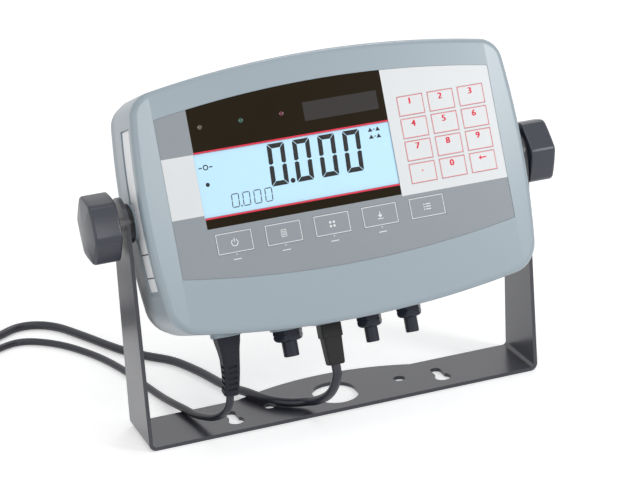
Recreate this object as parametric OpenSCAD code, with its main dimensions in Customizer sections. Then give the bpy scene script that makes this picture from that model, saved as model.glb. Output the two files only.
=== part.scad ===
/* [Stand] */
// Outside width across the two legs of the bracket
bracket_w = 270; // [268:0.5:276]
// Depth of the bracket strip, front to back
bracket_d = 44; // [40:1:50]
// Thickness of the bent steel strip
bracket_t = 2.5; // [2:0.5:3]
// Radius of the round top of each leg
leg_top_r = 17; // [14:1:20]
// How far the curved rear tab reaches behind the strip
tab_reach = 12.5; // [8:0.5:15]
// Radius of the screw holes in the base
base_hole_r = 4; // [2.5:0.1:4.5]
// Distance between the two screw holes in the base
base_hole_spacing = 91.6; // [85:0.2:100]
// Distance between the two keyholes in the base
keyhole_spacing = 145; // [138:1:150]
// Height of the tilt axis above the base
pivot_z = 145.5; // [142:0.5:150]
// Backward lean of the front face from upright, in degrees
tilt = 21; // [5:1:30]

/* [Housing] */
// Half width of the front face at its widest
face_half_w = 127.3; // [126:0.1:128]
// Height of the front face above the tilt axis, at the middle
face_top = 85.2; // [82:0.2:86]
// Depth of the front face below the tilt axis, at the middle
face_bottom = 83.8; // [82:0.1:86]
// Distance from the tilt axis forward to the flat front
face_w = 34.5; // [33:0.5:36]
// Distance from the tilt axis back to the joint of the two covers
split_w = 13.5; // [13:0.5:15]
// Distance from the tilt axis back to the rear of the rear cover
rear_w = 38.5; // [36:0.1:40]
// Slope of the two side bands of the front, in degrees
band_slope = 8; // [4:1:10]
// Wall thickness of the front housing
wall = 4; // [3.5:0.1:4.5]

/* [Front panel] */
// Half width of the printed panel
panel_half_w = 110.9; // [110:0.1:111]
// Top of the printed panel at the middle, above the tilt axis
panel_top = 67.2; // [66:0.2:68]
// Bottom of the printed panel at the middle, below the tilt axis
panel_bottom = 49.3; // [49:0.1:50]
// Travel of every key
key_travel = 0.35; // [0.2:0.05:0.35]

/* [Clamp knobs] */
// Radius over the six round corners
knob_r = 21.8; // [20:0.2:23]
// Length of a knob from its back to the rim of its crown
grip_len = 15.6; // [14:0.2:17]
// How far the left knob is unscrewed, as photographed
left_loose = 3.2; // [0:0.1:3.2]
// Radius of the threaded stud
stud_r = 4; // [3.5:0.1:4]

/* [Cords] */
// Diameter of the power cord
power_d = 5; // [4.8:0.1:5.2]
// Diameter of the data cord
data_d = 6; // [5.8:0.1:6.2]
// Turns in the coil of the power cord
power_turns = 7.5; // [6.5:1:8.5]
// Turns in the coil of the data cord
data_turns = 5.5; // [4.5:1:6.5]

/* [Hidden] */
$fn = 48;

housing_grey = [0.68, 0.73, 0.76];
knob_black = [0.25, 0.26, 0.29];
steel_grey = [0.42, 0.43, 0.46];
cord_black = [0.2, 0.2, 0.24];

// Plane and line helpers
function unit(v) = v / norm(v);
function to_world(p) = [p.x, p.y * sin(tilt) - p.z * cos(tilt),
  pivot_z + p.y * cos(tilt) + p.z * sin(tilt)];
function turn_to_world(v) = to_world(v) - [0, 0, pivot_z];

// The housing is drawn with x across, y up the front face and z out of it, from the tilt axis
module in_housing() { translate([0, 0, pivot_z]) rotate([90 - tilt, 0, 0]) children(); }

// Axis of the knobs: z points out of the left or right side
module out_of_side(side) { translate([0, 0, pivot_z]) rotate([0, side * 90, 0]) children(); }

// Down the face of the housing, from height y on it
module down_from(x, y, z = 0) { translate([x, y, z]) rotate([90, 0, 0]) children(); }

// Outline of the front face: two long arcs, two bowed sides and four round corners
long_arc_r = 650;
side_arc_r = 500;
side_mid = 4;
top_corner_r = 16;
bottom_corner_r = 21.5;
arc_steps = 7;
corner_steps = 6;
side_steps = 5;

function meeting(a, ra, b, rb, hand) = let (d = norm(b - a), e = (b - a) / d,
  x = (d * d + ra * ra - rb * rb) / (2 * d), h = sqrt(ra * ra - x * x))
  a + x * e + hand * h * [-e.y, e.x];
function heading(v) = atan2(v.y, v.x);
function arc_of(c, r, a, b, steps, first = 1) =
  [for (k = [first:steps]) [c, r, a + (b - a) * k / steps]];

top_c = [0, face_top - long_arc_r];
bottom_c = [0, long_arc_r - face_bottom];
side_c = [face_half_w - side_arc_r, side_mid];
top_corner_c = meeting(top_c, long_arc_r - top_corner_r, side_c, side_arc_r - top_corner_r, -1);
bottom_corner_c = meeting(bottom_c, long_arc_r - bottom_corner_r,
  side_c, side_arc_r - bottom_corner_r, 1);
right_half = concat(
  arc_of(bottom_c, long_arc_r, -90, heading(bottom_corner_c - bottom_c), arc_steps, 0),
  arc_of(bottom_corner_c, bottom_corner_r, heading(bottom_corner_c - bottom_c),
    heading(bottom_corner_c - side_c), corner_steps),
  arc_of(side_c, side_arc_r, heading(bottom_corner_c - side_c),
    heading(top_corner_c - side_c), side_steps),
  arc_of(top_corner_c, top_corner_r, heading(top_corner_c - side_c),
    heading(top_corner_c - top_c), corner_steps),
  arc_of(top_c, long_arc_r, heading(top_corner_c - top_c), 90, arc_steps));

function half_outline(inset) = [for (q = right_half)
  q[0] + (q[1] - inset) * [cos(q[2]), sin(q[2])]];
function outline(inset) = let (h = half_outline(inset), n = len(h))
  concat(h, [for (k = [n - 2:-1:1]) [-h[k].x, h[k].y]]);

// A closed solid through rings of the outline, each [inset, height]
module loft(rings) {
  n = len(outline(0));
  last = (len(rings) - 1) * n;
  points = [for (r = rings) for (p = outline(r[0])) [p.x, p.y, r[1]]];
  sides = [for (i = [0:len(rings) - 2]) for (j = [0:n - 1])
    let (a = i * n + j, b = i * n + (j + 1) % n) each [[a, a + n, b + n], [a, b + n, b]]];
  polyhedron(points, concat(sides, [[for (j = [0:n - 1]) j]],
    [[for (j = [n - 1:-1:0]) last + j]]));
}

// A round tube through a list of ring centres, with a given number of sides
function headings(c) = [for (i = [0:len(c) - 1])
  unit(c[min(i + 1, len(c) - 1)] - c[max(i - 1, 0)])];
function steadied(s, t) = unit(s - (s * t) * t);
function sides_of(t, s0) = [for (i = 0, s = steadied(s0, t[0]); i < len(t);
  s = i + 1 < len(t) ? steadied(s, t[i + 1]) : s, i = i + 1) s];
module tube(c, r, count) {
  t = headings(c);
  s = sides_of(t, [1, 0.1, 0.05]);
  last = (len(c) - 1) * count;
  points = [for (i = [0:len(c) - 1]) for (j = [0:count - 1]) let (a = 360 * (j + 0.5) / count)
    c[i] + r * (cos(a) * s[i] + sin(a) * cross(t[i], s[i]))];
  skin = [for (i = [0:len(c) - 2]) for (j = [0:count - 1])
    let (a = i * count + j, b = i * count + (j + 1) % count)
    each [[a, a + count, b + count], [a, b + count, b]]];
  polyhedron(points, concat(skin, [[for (j = [0:count - 1]) j]],
    [[for (j = [count - 1:-1:0]) last + j]]));
}

// A smooth curve through hand-set points
function bend(a, b, c, d, t) = 0.5 * (2 * b + (c - a) * t + (2 * a - 5 * b + 4 * c - d) * t * t
  + (3 * b - a - 3 * c + d) * t * t * t);
function curve(p, steps) = let (n = len(p)) concat([for (i = [0:n - 2]) for (k = [0:steps - 1])
  bend(p[max(i - 1, 0)], p[i], p[i + 1], p[min(i + 2, n - 1)], k / steps)], [p[n - 1]]);
function run(c) = len(c) < 2 ? 0 : [for (i = [1:len(c) - 1]) norm(c[i] - c[i - 1])]
  * [for (i = [1:len(c) - 1]) 1];

// A coil in two layers: it spirals in, climbs over half a turn and spirals out again
coil_steps = 24;
function coil_radius(s, turns, outer, pitch) = outer - pitch * (s < turns / 2 ? s : turns - s);
function coil_lift(s, turns) = min(1, max(0, 2 * (s - turns / 2) + 0.5));
function coil_line(middle, start, turns, outer, pitch, low, climb) =
  [for (k = [0:turns * coil_steps]) let (s = k / coil_steps, a = start - 360 * s,
    r = coil_radius(s, turns, outer, pitch))
    [middle.x + r * cos(a), middle.y + r * sin(a), low + climb * coil_lift(s, turns)]];
function least_gap(c, d) = min([for (i = [0:len(c) - 1])
  for (j = [i + coil_steps / 2:1:len(c) - 1]) norm(c[i] - c[j])]) - d;

// Bracket
leg_half_d = bracket_d / 2;
bend_r = 5;
leg_foot = 8;
tangent_drop = pivot_z - leg_foot;
tangent_turn = atan2(-tangent_drop, leg_half_d)
  + acos(leg_top_r / norm([leg_half_d, tangent_drop]));
tab_chord = 61;
tab_r = (tab_chord * tab_chord + tab_reach * tab_reach) / (2 * tab_reach);
cable_hole_r = 14.7;
cable_hole_mid = 3;
cable_hole_stretch = 2.4;
base_hole_y = 3.5;
pivot_hole_r = stud_r + 0.08;

module strip_profile() {
  half = bracket_w / 2;
  difference() {
    union() {
      translate([-half, bend_r]) square([bracket_w, pivot_z + leg_top_r]);
      translate([-half + bend_r, 0]) square([bracket_w - 2 * bend_r, 2 * bend_r]);
      for (s = [-1, 1]) translate([s * (half - bend_r), bend_r]) circle(bend_r);
    }
    inner = bend_r - bracket_t;
    translate([-half + bracket_t, bend_r]) square([bracket_w - 2 * bracket_t, 2 * pivot_z]);
    translate([-half + bend_r, bracket_t]) square([bracket_w - 2 * bend_r, 2 * bend_r]);
    for (s = [-1, 1]) translate([s * (half - bend_r), bend_r]) circle(inner);
  }
}

module leg_profile() {
  x = leg_top_r * cos(tangent_turn);
  y = pivot_z + leg_top_r * sin(tangent_turn);
  polygon([[-leg_half_d, 0], [leg_half_d, 0], [leg_half_d, leg_foot], [x, y], [-x, y],
    [-leg_half_d, leg_foot]]);
  translate([0, pivot_z]) circle(leg_top_r);
  translate([-leg_half_d, 0]) square([bracket_d + tab_reach, bracket_t + 0.1]);
}

module base_profile() {
  square([bracket_w + 2, bracket_d], center = true);
  intersection() {
    translate([0, leg_half_d + tab_reach - tab_r]) circle(tab_r, $fn = 96);
    translate([-tab_chord, 0]) square([2 * tab_chord, bracket_d]);
  }
}

module keyhole() {
  translate([0, -7.5]) circle(5.6);
  translate([0, 4.5]) circle(3.4);
  translate([-3.4, -7.5]) square([6.8, 12]);
}

module mounting_bracket() color(steel_grey) difference() {
  intersection() {
    translate([0, bracket_d, 0]) rotate([90, 0, 0]) linear_extrude(2 * bracket_d) strip_profile();
    translate([-bracket_w / 2 - 1, 0, 0]) rotate([90, 0, 90])
      linear_extrude(bracket_w + 2) leg_profile();
    translate([0, 0, -1]) linear_extrude(pivot_z + 2 * leg_top_r) base_profile();
  }
  translate([0, 0, -1]) linear_extrude(bracket_t + 2) {
    for (s = [-1, 1]) translate([0, cable_hole_mid + s * cable_hole_stretch]) circle(cable_hole_r);
    translate([-cable_hole_r, cable_hole_mid - cable_hole_stretch])
      square([2 * cable_hole_r, 2 * cable_hole_stretch]);
    for (s = [-1, 1]) translate([s * keyhole_spacing / 2, 0]) keyhole();
  }
  for (s = [-1, 1]) {
    translate([s * base_hole_spacing / 2, base_hole_y, -1]) cylinder(r = base_hole_r, h = bracket_t + 2);
    out_of_side(s) translate([0, 0, bracket_w / 2 - bracket_t - 1])
      cylinder(r = pivot_hole_r, h = bracket_t + 2);
  }
}

// Clamp: stud, knob and washers on the tilt axis, measured out from the leg's outer face
leg_out = bracket_w / 2;
washer_t = 1.4;
washer_gap = 0.05;
washer_r = 13.5;
knob_pocket = 0.7;
hub_start = leg_out + washer_t + 2 * washer_gap - knob_pocket;
module clamp_side(side) out_of_side(side) translate([0, 0, side < 0 ? left_loose : 0]) children();

module left_clamp_washer() clamp_washer(-1);
module right_clamp_washer() clamp_washer(1);
module clamp_washer(side) color("silver") clamp_side(side)
  translate([0, 0, leg_out + washer_gap]) difference() {
    cylinder(r = washer_r, h = washer_t);
    translate([0, 0, -1]) cylinder(r = stud_r + 0.06, h = washer_t + 2);
  }

// The knob: a six-sided grip with broad round corners, a rounded rim and a low crown
lobe_count = 6;
corner_r = 6;
function grip(inset, part) = [for (k = [0:lobe_count - 1]) for (j = [-2:2])
  let (c = k * 360 / lobe_count, a = c + j * 15)
  part * ((knob_r - corner_r) * [cos(c), sin(c)] + (corner_r - inset) * [cos(a), sin(a)])];
knob_rings = [[0.9, 1, 0], [0.2, 1, 0.4], [0, 1, 1.2], [0, 1, grip_len], [0.5, 1, grip_len + 1],
  [1.7, 1, grip_len + 1.8], [1.7, 0.85, grip_len + 2.4], [1.7, 0.6, grip_len + 3.1],
  [1.7, 0.3, grip_len + 3.5]];
module knob_solid() {
  n = 5 * lobe_count;
  last = (len(knob_rings) - 1) * n;
  points = [for (r = knob_rings) for (p = grip(r[0], r[1])) [p.x, p.y, r[2]]];
  skin = [for (i = [0:len(knob_rings) - 2]) for (j = [0:n - 1])
    let (a = i * n + j, b = i * n + (j + 1) % n) each [[a, a + n, b + n], [a, b + n, b]]];
  polyhedron(points, concat(skin, [[for (j = [0:n - 1]) j]], [[for (j = [n - 1:-1:0]) last + j]]));
}
module knob(side, turn) color(knob_black) clamp_side(side) translate([0, 0, hub_start])
  difference() {
    rotate(turn) knob_solid();
    translate([0, 0, -1]) cylinder(r = washer_r + 0.4, h = 1 + knob_pocket);
    translate([0, 0, -1]) cylinder(r = stud_r, h = 13);
  }
module left_knob() knob(-1, 28);
module right_knob() knob(1, 13);

insert_in = 113;
module knob_stud(side) color("gainsboro") clamp_side(side)
  translate([0, 0, insert_in + 2]) cylinder(r = stud_r, h = hub_start + 12 - insert_in - 2);
module left_knob_stud() knob_stud(-1);
module right_knob_stud() knob_stud(1);

boss_out = 128.2;
module friction_washers() color("black") for (s = [-1, 1]) out_of_side(s)
  translate([0, 0, boss_out]) difference() {
    cylinder(r = 12.5, h = leg_out - bracket_t - boss_out - 0.1);
    translate([0, 0, -1]) cylinder(r = stud_r + 0.3, h = 10);
  }

insert_r = 6;
module pivot_inserts() color("goldenrod") for (s = [-1, 1]) out_of_side(s)
  translate([0, 0, insert_in]) difference() {
    union() {
      cylinder(r = insert_r, h = boss_out - insert_in);
      cylinder(r = insert_r + 1.5, h = 2);
    }
    translate([0, 0, -1]) cylinder(r = stud_r + 0.05, h = boss_out);
  }

// Front housing
face_rings = [[0.4, -split_w], [0, 0], [0, face_w - 4.5], [0.5, face_w - 2.4],
  [1.6, face_w - 0.8], [3.2, face_w]];
front_inner = face_w - 4;
crease_x = 111.2;
cover_screw_at = [[109, 54], [109, -53], [-109, 54], [-109, -53], [0, 71], [0, -67]];
board_screw_at = [[92, 56], [-92, 56], [92, -45], [-92, -45]];
board_front = 15.6;
board_t = 1.6;
gland_at = [-41.25, 13.75, 41.25];
gland_size = [1, 0.86, 0.86];
socket_x = -13.75;
boot_x = -81;
boot_pad = 1.4;
recess_floor = face_w - 1.2;
led_at = [-83, -56.5, -30];
led_y = 49.3;
window_x = [-90.2, 38.4];
window_y = [-6.1, 33.4];

module label_shape(inset) {
  label_arc = 683;
  intersection() {
    translate([0, panel_top - label_arc]) circle(label_arc - inset, $fn = 180);
    translate([0, label_arc - panel_bottom]) circle(label_arc - inset, $fn = 180);
    square([2 * (panel_half_w - inset), 200], center = true);
  }
}

module from_to(x, y, inset = 0) translate([x[0] + inset, y[0] + inset])
  square([x[1] - x[0] - 2 * inset, y[1] - y[0] - 2 * inset]);

module posts(places, r) for (p = places) translate(p) circle(r);

function bottom_at(x) = -face_bottom + x * x / (2 * long_arc_r);
module pad(x, r, proud) down_from(x, bottom_at(x) + wall + 1) cylinder(r = r, h = wall + 1 + proud);

module front_housing() color(housing_grey) in_housing() difference() {
  union() {
    difference() {
      loft(face_rings);
      for (s = [-1, 1]) translate([s * crease_x, -100, face_w]) rotate([0, s * band_slope, 0])
        translate([s > 0 ? 0 : -40, 0, 0]) cube([40, 200, 20]);
      translate([0, 0, -split_w - 1]) linear_extrude(split_w + 1 + front_inner) difference() {
        polygon(outline(wall));
        posts(cover_screw_at, 5);
        posts(board_screw_at, 4);
      }
      translate([0, 0, -split_w - 1]) linear_extrude(split_w + 1 + board_front)
        posts(board_screw_at, 4.5);
      side_recess();
    }
    for (s = [-1, 1]) rotate([0, s * 90, 0]) translate([0, 0, 109]) cylinder(r = 12, h = boss_out - 109);
    for (k = [0:2]) pad(gland_at[k], 11 * gland_size[k], 0.8);
    pad(boot_x, 10, boot_pad);
    translate([socket_x - 10.5, bottom_at(socket_x) - 0.8, -8]) cube([21, wall + 1.8, 16]);
  }
  for (s = [-1, 1]) rotate([0, s * 90, 0]) {
    translate([0, 0, 100]) cylinder(r = insert_r, h = 40);
    translate([0, 0, 100]) cylinder(r = insert_r + 1.5, h = insert_in + 2 - 100);
  }
  for (k = [0:2]) down_from(gland_at[k], -70) cylinder(r = 6.1 * gland_size[k], h = 20);
  down_from(boot_x, -70) cylinder(r = 6.6, h = 20);
  translate([socket_x - 6, -90, -3.8]) cube([12, 20, 7.6]);
  translate([0, 0, recess_floor]) linear_extrude(5) label_shape(0);
  translate([0, 0, front_inner - 1]) linear_extrude(5) from_to(window_x, window_y, 2);
  translate([0, 0, recess_floor - 0.9]) linear_extrude(2) keypad_fields(0.2);
  translate([0, 0, front_inner - 1]) linear_extrude(5) translate([45, 10]) square([3, 16]);
  for (x = led_at) translate([x, led_y, front_inner - 1]) cylinder(r = 1.6, h = 5);
  for (p = cover_screw_at) translate([p.x, p.y, -split_w - 1]) cylinder(r = 2, h = 17);
  for (p = board_screw_at) translate([p.x, p.y, board_front - 1]) cylinder(r = 1.5, h = 9);
}

// Shallow field for a rating plate in the left wall, following its bow
module side_recess() translate([0, 0, 3]) linear_extrude(21) intersection() {
  difference() {
    translate([-face_half_w + side_arc_r, side_mid]) circle(side_arc_r + 5, $fn = 180);
    translate([-face_half_w + side_arc_r, side_mid]) circle(side_arc_r - 1, $fn = 180);
  }
  translate([-face_half_w - 3, -47]) square([20, 103]);
}

gasket_t = 0.8;
module housing_gasket() color("dimgray") in_housing() translate([0, 0, -split_w - gasket_t])
  linear_extrude(gasket_t) difference() {
    polygon(outline(0.8));
    polygon(outline(wall - 0.2));
  }

// Rear cover: a shallow tapered shell with six sunk screws and a raised spine of ribs inside
rear_top = -split_w - gasket_t;
rear_rings = [[13, -rear_w], [9.2, -rear_w + 0.3], [6.2, -rear_w + 1.4], [4, -rear_w + 3.4],
  [2.5, -rear_w + 6.4], [1.5, -rear_w + 11], [0.8, rear_top - 5], [0.4, rear_top]];
psu_at = [-62, -6];
module rear_cover() color(housing_grey) in_housing() difference() {
  loft(rear_rings);
  translate([0, 0, -rear_w + 13]) linear_extrude(40) difference() {
    polygon(outline(6));
    posts(cover_screw_at, 6.5);
  }
  translate([0, 0, -rear_w + 3]) linear_extrude(40) difference() {
    polygon(outline(12));
    posts(cover_screw_at, 6.5);
    for (x = [-36, 36], y = [-26, 26]) translate(psu_at + [x, y]) circle(3.5);
    for (x = [20, 50, 80]) translate([x, -50]) square([2, 100]);
  }
  translate([0, 0, -rear_w + 6]) linear_extrude(40)
    for (x = [-36, 36], y = [-26, 26]) translate(psu_at + [x, y]) circle(3.6);
  translate([0, 0, -rear_w + 5]) linear_extrude(40) translate([15, -55]) square([70, 110]);
  for (p = cover_screw_at) translate([p.x, p.y, -rear_w - 1]) {
    cylinder(r = 4.6, h = 10);
    cylinder(r = 2.3, h = 40);
  }
}

module cover_screws() color("silver") in_housing() for (p = cover_screw_at)
  translate([p.x, p.y, -rear_w + 5.6]) difference() {
    union() {
      cylinder(r = 3.9, h = 3.4);
      cylinder(r = 1.95, h = rear_w - 5.6 - split_w + 13);
    }
    for (a = [0, 90]) rotate(a) translate([-2.2, -0.5, -0.1]) cube([4.4, 1, 1.8]);
  }

// Front panel: printed overlay with a clear window and seventeen keys
function_key = [23.2, 12.84];
function_key_at = [-85.98, -29.64];
function_pitch = 31.94;
number_key = [17.3, 12.35];
number_key_at = [46.25, 35.05];
number_pitch = [20.7, 14.28];
key_gap = 0.2;
overlay_t = 1;
key_t = 0.7;

function function_place(k) = [function_key_at.x + k * function_pitch, function_key_at.y];
function number_place(column, row) =
  [number_key_at.x + column * number_pitch.x, number_key_at.y - row * number_pitch.y];

module all_keys(grow) {
  for (k = [0:4]) translate(function_place(k) - [grow, grow])
    square(function_key + 2 * [grow, grow]);
  for (c = [0:2], r = [0:3]) translate(number_place(c, r) - [grow, grow])
    square(number_key + 2 * [grow, grow]);
}

module keypad_fields(grow) {
  translate(function_place(0) - [2, 1.5]) from_to([-grow, 4 * function_pitch + 27.2 + grow],
    [-grow, 15.84 + grow]);
  translate(number_place(0, 3) - [2, 1.5]) from_to([-grow, 2 * number_pitch.x + 21.3 + grow],
    [-grow, 3 * number_pitch.y + 15.35 + grow]);
}

module panel_overlay() color([0.58, 0.6, 0.63]) in_housing() translate([0, 0, recess_floor])
  linear_extrude(overlay_t) difference() {
    label_shape(0.15);
    from_to(window_x, window_y, -0.1);
    all_keys(key_gap);
  }

module display_window() color([0.8, 0.9, 0.95, 0.5]) in_housing()
  translate([0, 0, recess_floor]) linear_extrude(overlay_t) from_to(window_x, window_y);

module key(place, size) color([0.85, 0.86, 0.87]) in_housing()
  translate([place.x, place.y, recess_floor + overlay_t - key_t + 0.15])
    linear_extrude(key_t) square(size);
module key_on_zero() key(function_place(0), function_key);
module key_print() key(function_place(1), function_key);
module key_function() key(function_place(2), function_key);
module key_tare() key(function_place(3), function_key);
module key_library() key(function_place(4), function_key);
module key_1() key(number_place(0, 0), number_key);
module key_2() key(number_place(1, 0), number_key);
module key_3() key(number_place(2, 0), number_key);
module key_4() key(number_place(0, 1), number_key);
module key_5() key(number_place(1, 1), number_key);
module key_6() key(number_place(2, 1), number_key);
module key_7() key(number_place(0, 2), number_key);
module key_8() key(number_place(1, 2), number_key);
module key_9() key(number_place(2, 2), number_key);
module key_dot() key(number_place(0, 3), number_key);
module key_0() key(number_place(1, 3), number_key);
module key_clear() key(number_place(2, 3), number_key);

// Switch foil under the keys, with a flat snap disc in each key's middle and a tail to the board
module keypad_circuit() color("seagreen") in_housing() {
  translate([0, 0, recess_floor - 0.9]) linear_extrude(0.8) keypad_fields(0);
  translate([0, 0, recess_floor - 0.2]) {
    for (k = [0:4]) translate(function_place(k) + function_key / 2) cylinder(r = 4, h = 0.25);
    for (c = [0:2], r = [0:3]) translate(number_place(c, r) + number_key / 2)
      cylinder(r = 4, h = 0.25);
  }
  translate([45.6, 11, board_front + 3.1]) cube([0.5, 14, recess_floor - 0.9 - board_front - 2.9]);
}

// Display and boards
module lcd_glass() color([0.76, 0.92, 0.98]) in_housing() translate([0, 0, recess_floor - 2])
  linear_extrude(1.9) from_to(window_x, window_y, 2.4);
module backlight() color("white") in_housing() translate([0, 0, recess_floor - 8])
  linear_extrude(5.9) from_to(window_x, window_y, 2.4);
module display_frame() color("black") in_housing() {
  translate([0, 0, front_inner - 4.6]) linear_extrude(4.5) difference() {
    from_to(window_x, window_y, -4);
    from_to(window_x, window_y, 2.2);
  }
  for (x = [window_x[0] - 1, window_x[1] + 1], y = [window_y[0] - 1, window_y[1] + 1])
    translate([x, y, board_front + 0.05]) cylinder(r = 2, h = front_inner - 4.55 - board_front);
}

module status_leds() color("gold") in_housing() for (x = led_at) {
  translate([x, led_y, recess_floor - 6]) cylinder(r = 1.5, h = 4.4);
  translate([x, led_y, recess_floor - 1.65]) sphere(1.45);
  for (s = [-1, 1]) translate([x + s * 0.8, led_y, board_front])
    cylinder(r = 0.3, h = recess_floor - 5.9 - board_front);
}

module main_board() color("darkgreen") in_housing() {
  translate([0, 0, board_front - board_t]) linear_extrude(board_t) difference() {
    from_to([-100, 100], [-52, 62]);
    posts(board_screw_at, 1.7);
  }
  translate([40, 10, board_front]) cube([8, 16, 3]);
  for (x = [-60, -20, 30, 66]) translate([x, 34, board_front - board_t - 2.4]) cube([14, 14, 2.4]);
}

module terminal_blocks() color("limegreen") in_housing() for (x = gland_at)
  translate([x - 11, -46, board_front - board_t - 11]) difference() {
    cube([22, 12, 10.9]);
    for (k = [0:3]) translate([3.5 + k * 5, 4.5, -1]) cylinder(r = 1.7, h = 6);
    for (k = [0:3]) translate([2 + k * 5, -1, 6]) cube([3, 8, 3.4]);
  }

module board_screws() color("silver") in_housing() for (p = board_screw_at)
  translate([p.x, p.y, board_front - board_t - 2.1]) difference() {
    union() {
      cylinder(r = 2.8, h = 2.1);
      cylinder(r = 1.45, h = board_t + 2.1 + 7);
    }
    for (a = [0, 90]) rotate(a) translate([-1.6, -0.35, -0.1]) cube([3.2, 0.7, 1.2]);
  }

psu_floor = -rear_w + 6;
module power_board() color("darkolivegreen") in_housing() {
  translate([psu_at.x - 42, psu_at.y - 32, psu_floor]) cube([84, 64, 1.6]);
  translate([psu_at.x + 24, psu_at.y - 24, psu_floor + 1.6]) cylinder(r = 6, h = 18);
  translate([psu_at.x + 24, psu_at.y - 8, psu_floor + 1.6]) cylinder(r = 6, h = 18);
  translate([psu_at.x - 38, psu_at.y - 20, psu_floor + 1.6]) cube([8, 40, 14]);
}
module transformer() color("darkgoldenrod") in_housing()
  translate([psu_at.x - 24, psu_at.y - 20, psu_floor + 1.6]) {
    cube([36, 40, 14]);
    translate([5, 5, 14]) cube([26, 30, 6]);
  }

// Cable entries along the bottom
gland_top = [for (x = gland_at) bottom_at(x) - 0.8];
module hexagon(flats) circle(flats / sqrt(3), $fn = 6);
module gland_from(k, y) down_from(gland_at[k], gland_top[k] + y)
  scale([gland_size[k], gland_size[k], 1]) children();
module gland_bodies() color(knob_black) in_housing() for (k = [0:2])
  gland_from(k, wall + 7) difference() {
    union() {
      cylinder(r = 6, h = wall + 7);
      translate([0, 0, wall + 7]) linear_extrude(3) hexagon(17);
      translate([0, 0, wall + 10]) cylinder(r = 6.6, h = 2.4);
    }
    translate([0, 0, -1]) cylinder(r = 4.2, h = 30);
  }
module gland_nuts() color(knob_black) in_housing() for (k = [0:2])
  gland_from(k, -3.05) difference() {
    intersection() {
      union() {
        cylinder(r = 9.2, h = 1.5);
        linear_extrude(5) hexagon(17);
      }
      rotate_extrude() polygon([[0, 0], [10, 0], [10, 1.6], [8.8, 3.2], [6.8, 4.4], [0, 4.4]]);
    }
    translate([0, 0, -1]) cylinder(r = 6.65, h = 3.6);
    cylinder(r = 4.75, h = 10);
  }
module gland_plugs() color(knob_black) in_housing() for (k = [0:2])
  gland_from(k, -5.6) union() {
    cylinder(r = 4.7, h = 11);
    translate([0, 0, 2]) cylinder(r = 5, h = 9.6);
  }
module gland_locknuts() color(knob_black) in_housing() for (k = [0:2])
  gland_from(k, wall + 1.8 + 4.1) difference() {
    linear_extrude(4) hexagon(17);
    translate([0, 0, -1]) cylinder(r = 6.05, h = 6);
  }

module data_socket() color("silver") in_housing()
  translate([socket_x - 8, bottom_at(socket_x) + wall + 1.1, -6.5]) difference() {
    cube([16, 14, 13]);
    translate([2.2, -1, 2.9]) cube([11.6, 12, 7.2]);
  }

// Two-step moulded hood of the data cord, plugged into its socket
hood_step = bottom_at(socket_x) - 0.85;
hood_end = -111;
module data_connector() color([0.2, 0.2, 0.2]) in_housing() {
  translate([socket_x - 5.7, hood_step, -3.5]) cube([11.4, 13, 7]);
  translate([socket_x - 6.9, hood_step - 9, -5.5]) cube([13.8, 9, 11]);
  hull() {
    translate([socket_x - 6.1, hood_step - 9, -4.9]) cube([12.2, 0.2, 9.8]);
    translate([socket_x - 5.3, hood_end, -4.5]) cube([10.6, 0.5, 9]);
  }
}

// Flexible boot of the power cord, bent a little back and down
boot_end = [-83, -115.5, -8];
boot_end_turn = [26, 0, -4];
boot_top = bottom_at(boot_x) - boot_pad - 0.05;
module boot_slice(place, turn, size) translate(place) rotate(turn) rotate([90, 0, 0])
  linear_extrude(0.4) translate(-size / 2) for (i = [0, 1]) {
    translate([i ? 1.5 : 0, i ? 0 : 1.5]) square(size - (i ? [3, 0] : [0, 3]));
    translate([1.5, 1.5 + i * (size.y - 3)]) circle(1.5, $fn = 16);
    translate([size.x - 1.5, 1.5 + i * (size.y - 3)]) circle(1.5, $fn = 16);
  }
module cord_boot() color(knob_black) in_housing() {
  down_from(boot_x, boot_top + wall + 3.5) cylinder(r = 6.5, h = wall + 3.7);
  down_from(boot_x, boot_top + wall + 4.4) cylinder(r = 8, h = 1.9);
  difference() {
    union() {
      hull() {
        boot_slice([boot_x, boot_top, 0], [0, 0, 0], [15.2, 14]);
        boot_slice([boot_x - 0.4, -94, -0.4], [4, 0, -1], [11.2, 11]);
      }
      hull() {
        boot_slice([boot_x - 0.4, -94, -0.4], [4, 0, -1], [11.2, 11]);
        boot_slice([boot_x - 1, -105, -2.9], [14, 0, -3], [10, 10]);
      }
      hull() {
        boot_slice([boot_x - 1, -105, -2.9], [14, 0, -3], [10, 10]);
        boot_slice(boot_end, boot_end_turn, [9.4, 9.4]);
      }
    }
    for (k = [0:4]) let (y = -98.5 - 3.3 * k, s = (-y - 94) / 21.5)
      translate([boot_x - 0.4 - 1.6 * s, y, -0.4 - 7.6 * s * s]) rotate([4 + 22 * s, 0, 0])
        for (a = [0:90:270]) rotate([0, a, 0]) translate([-2.9, -0.8, 3.4]) cube([5.8, 1.6, 4]);
  }
}

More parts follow.
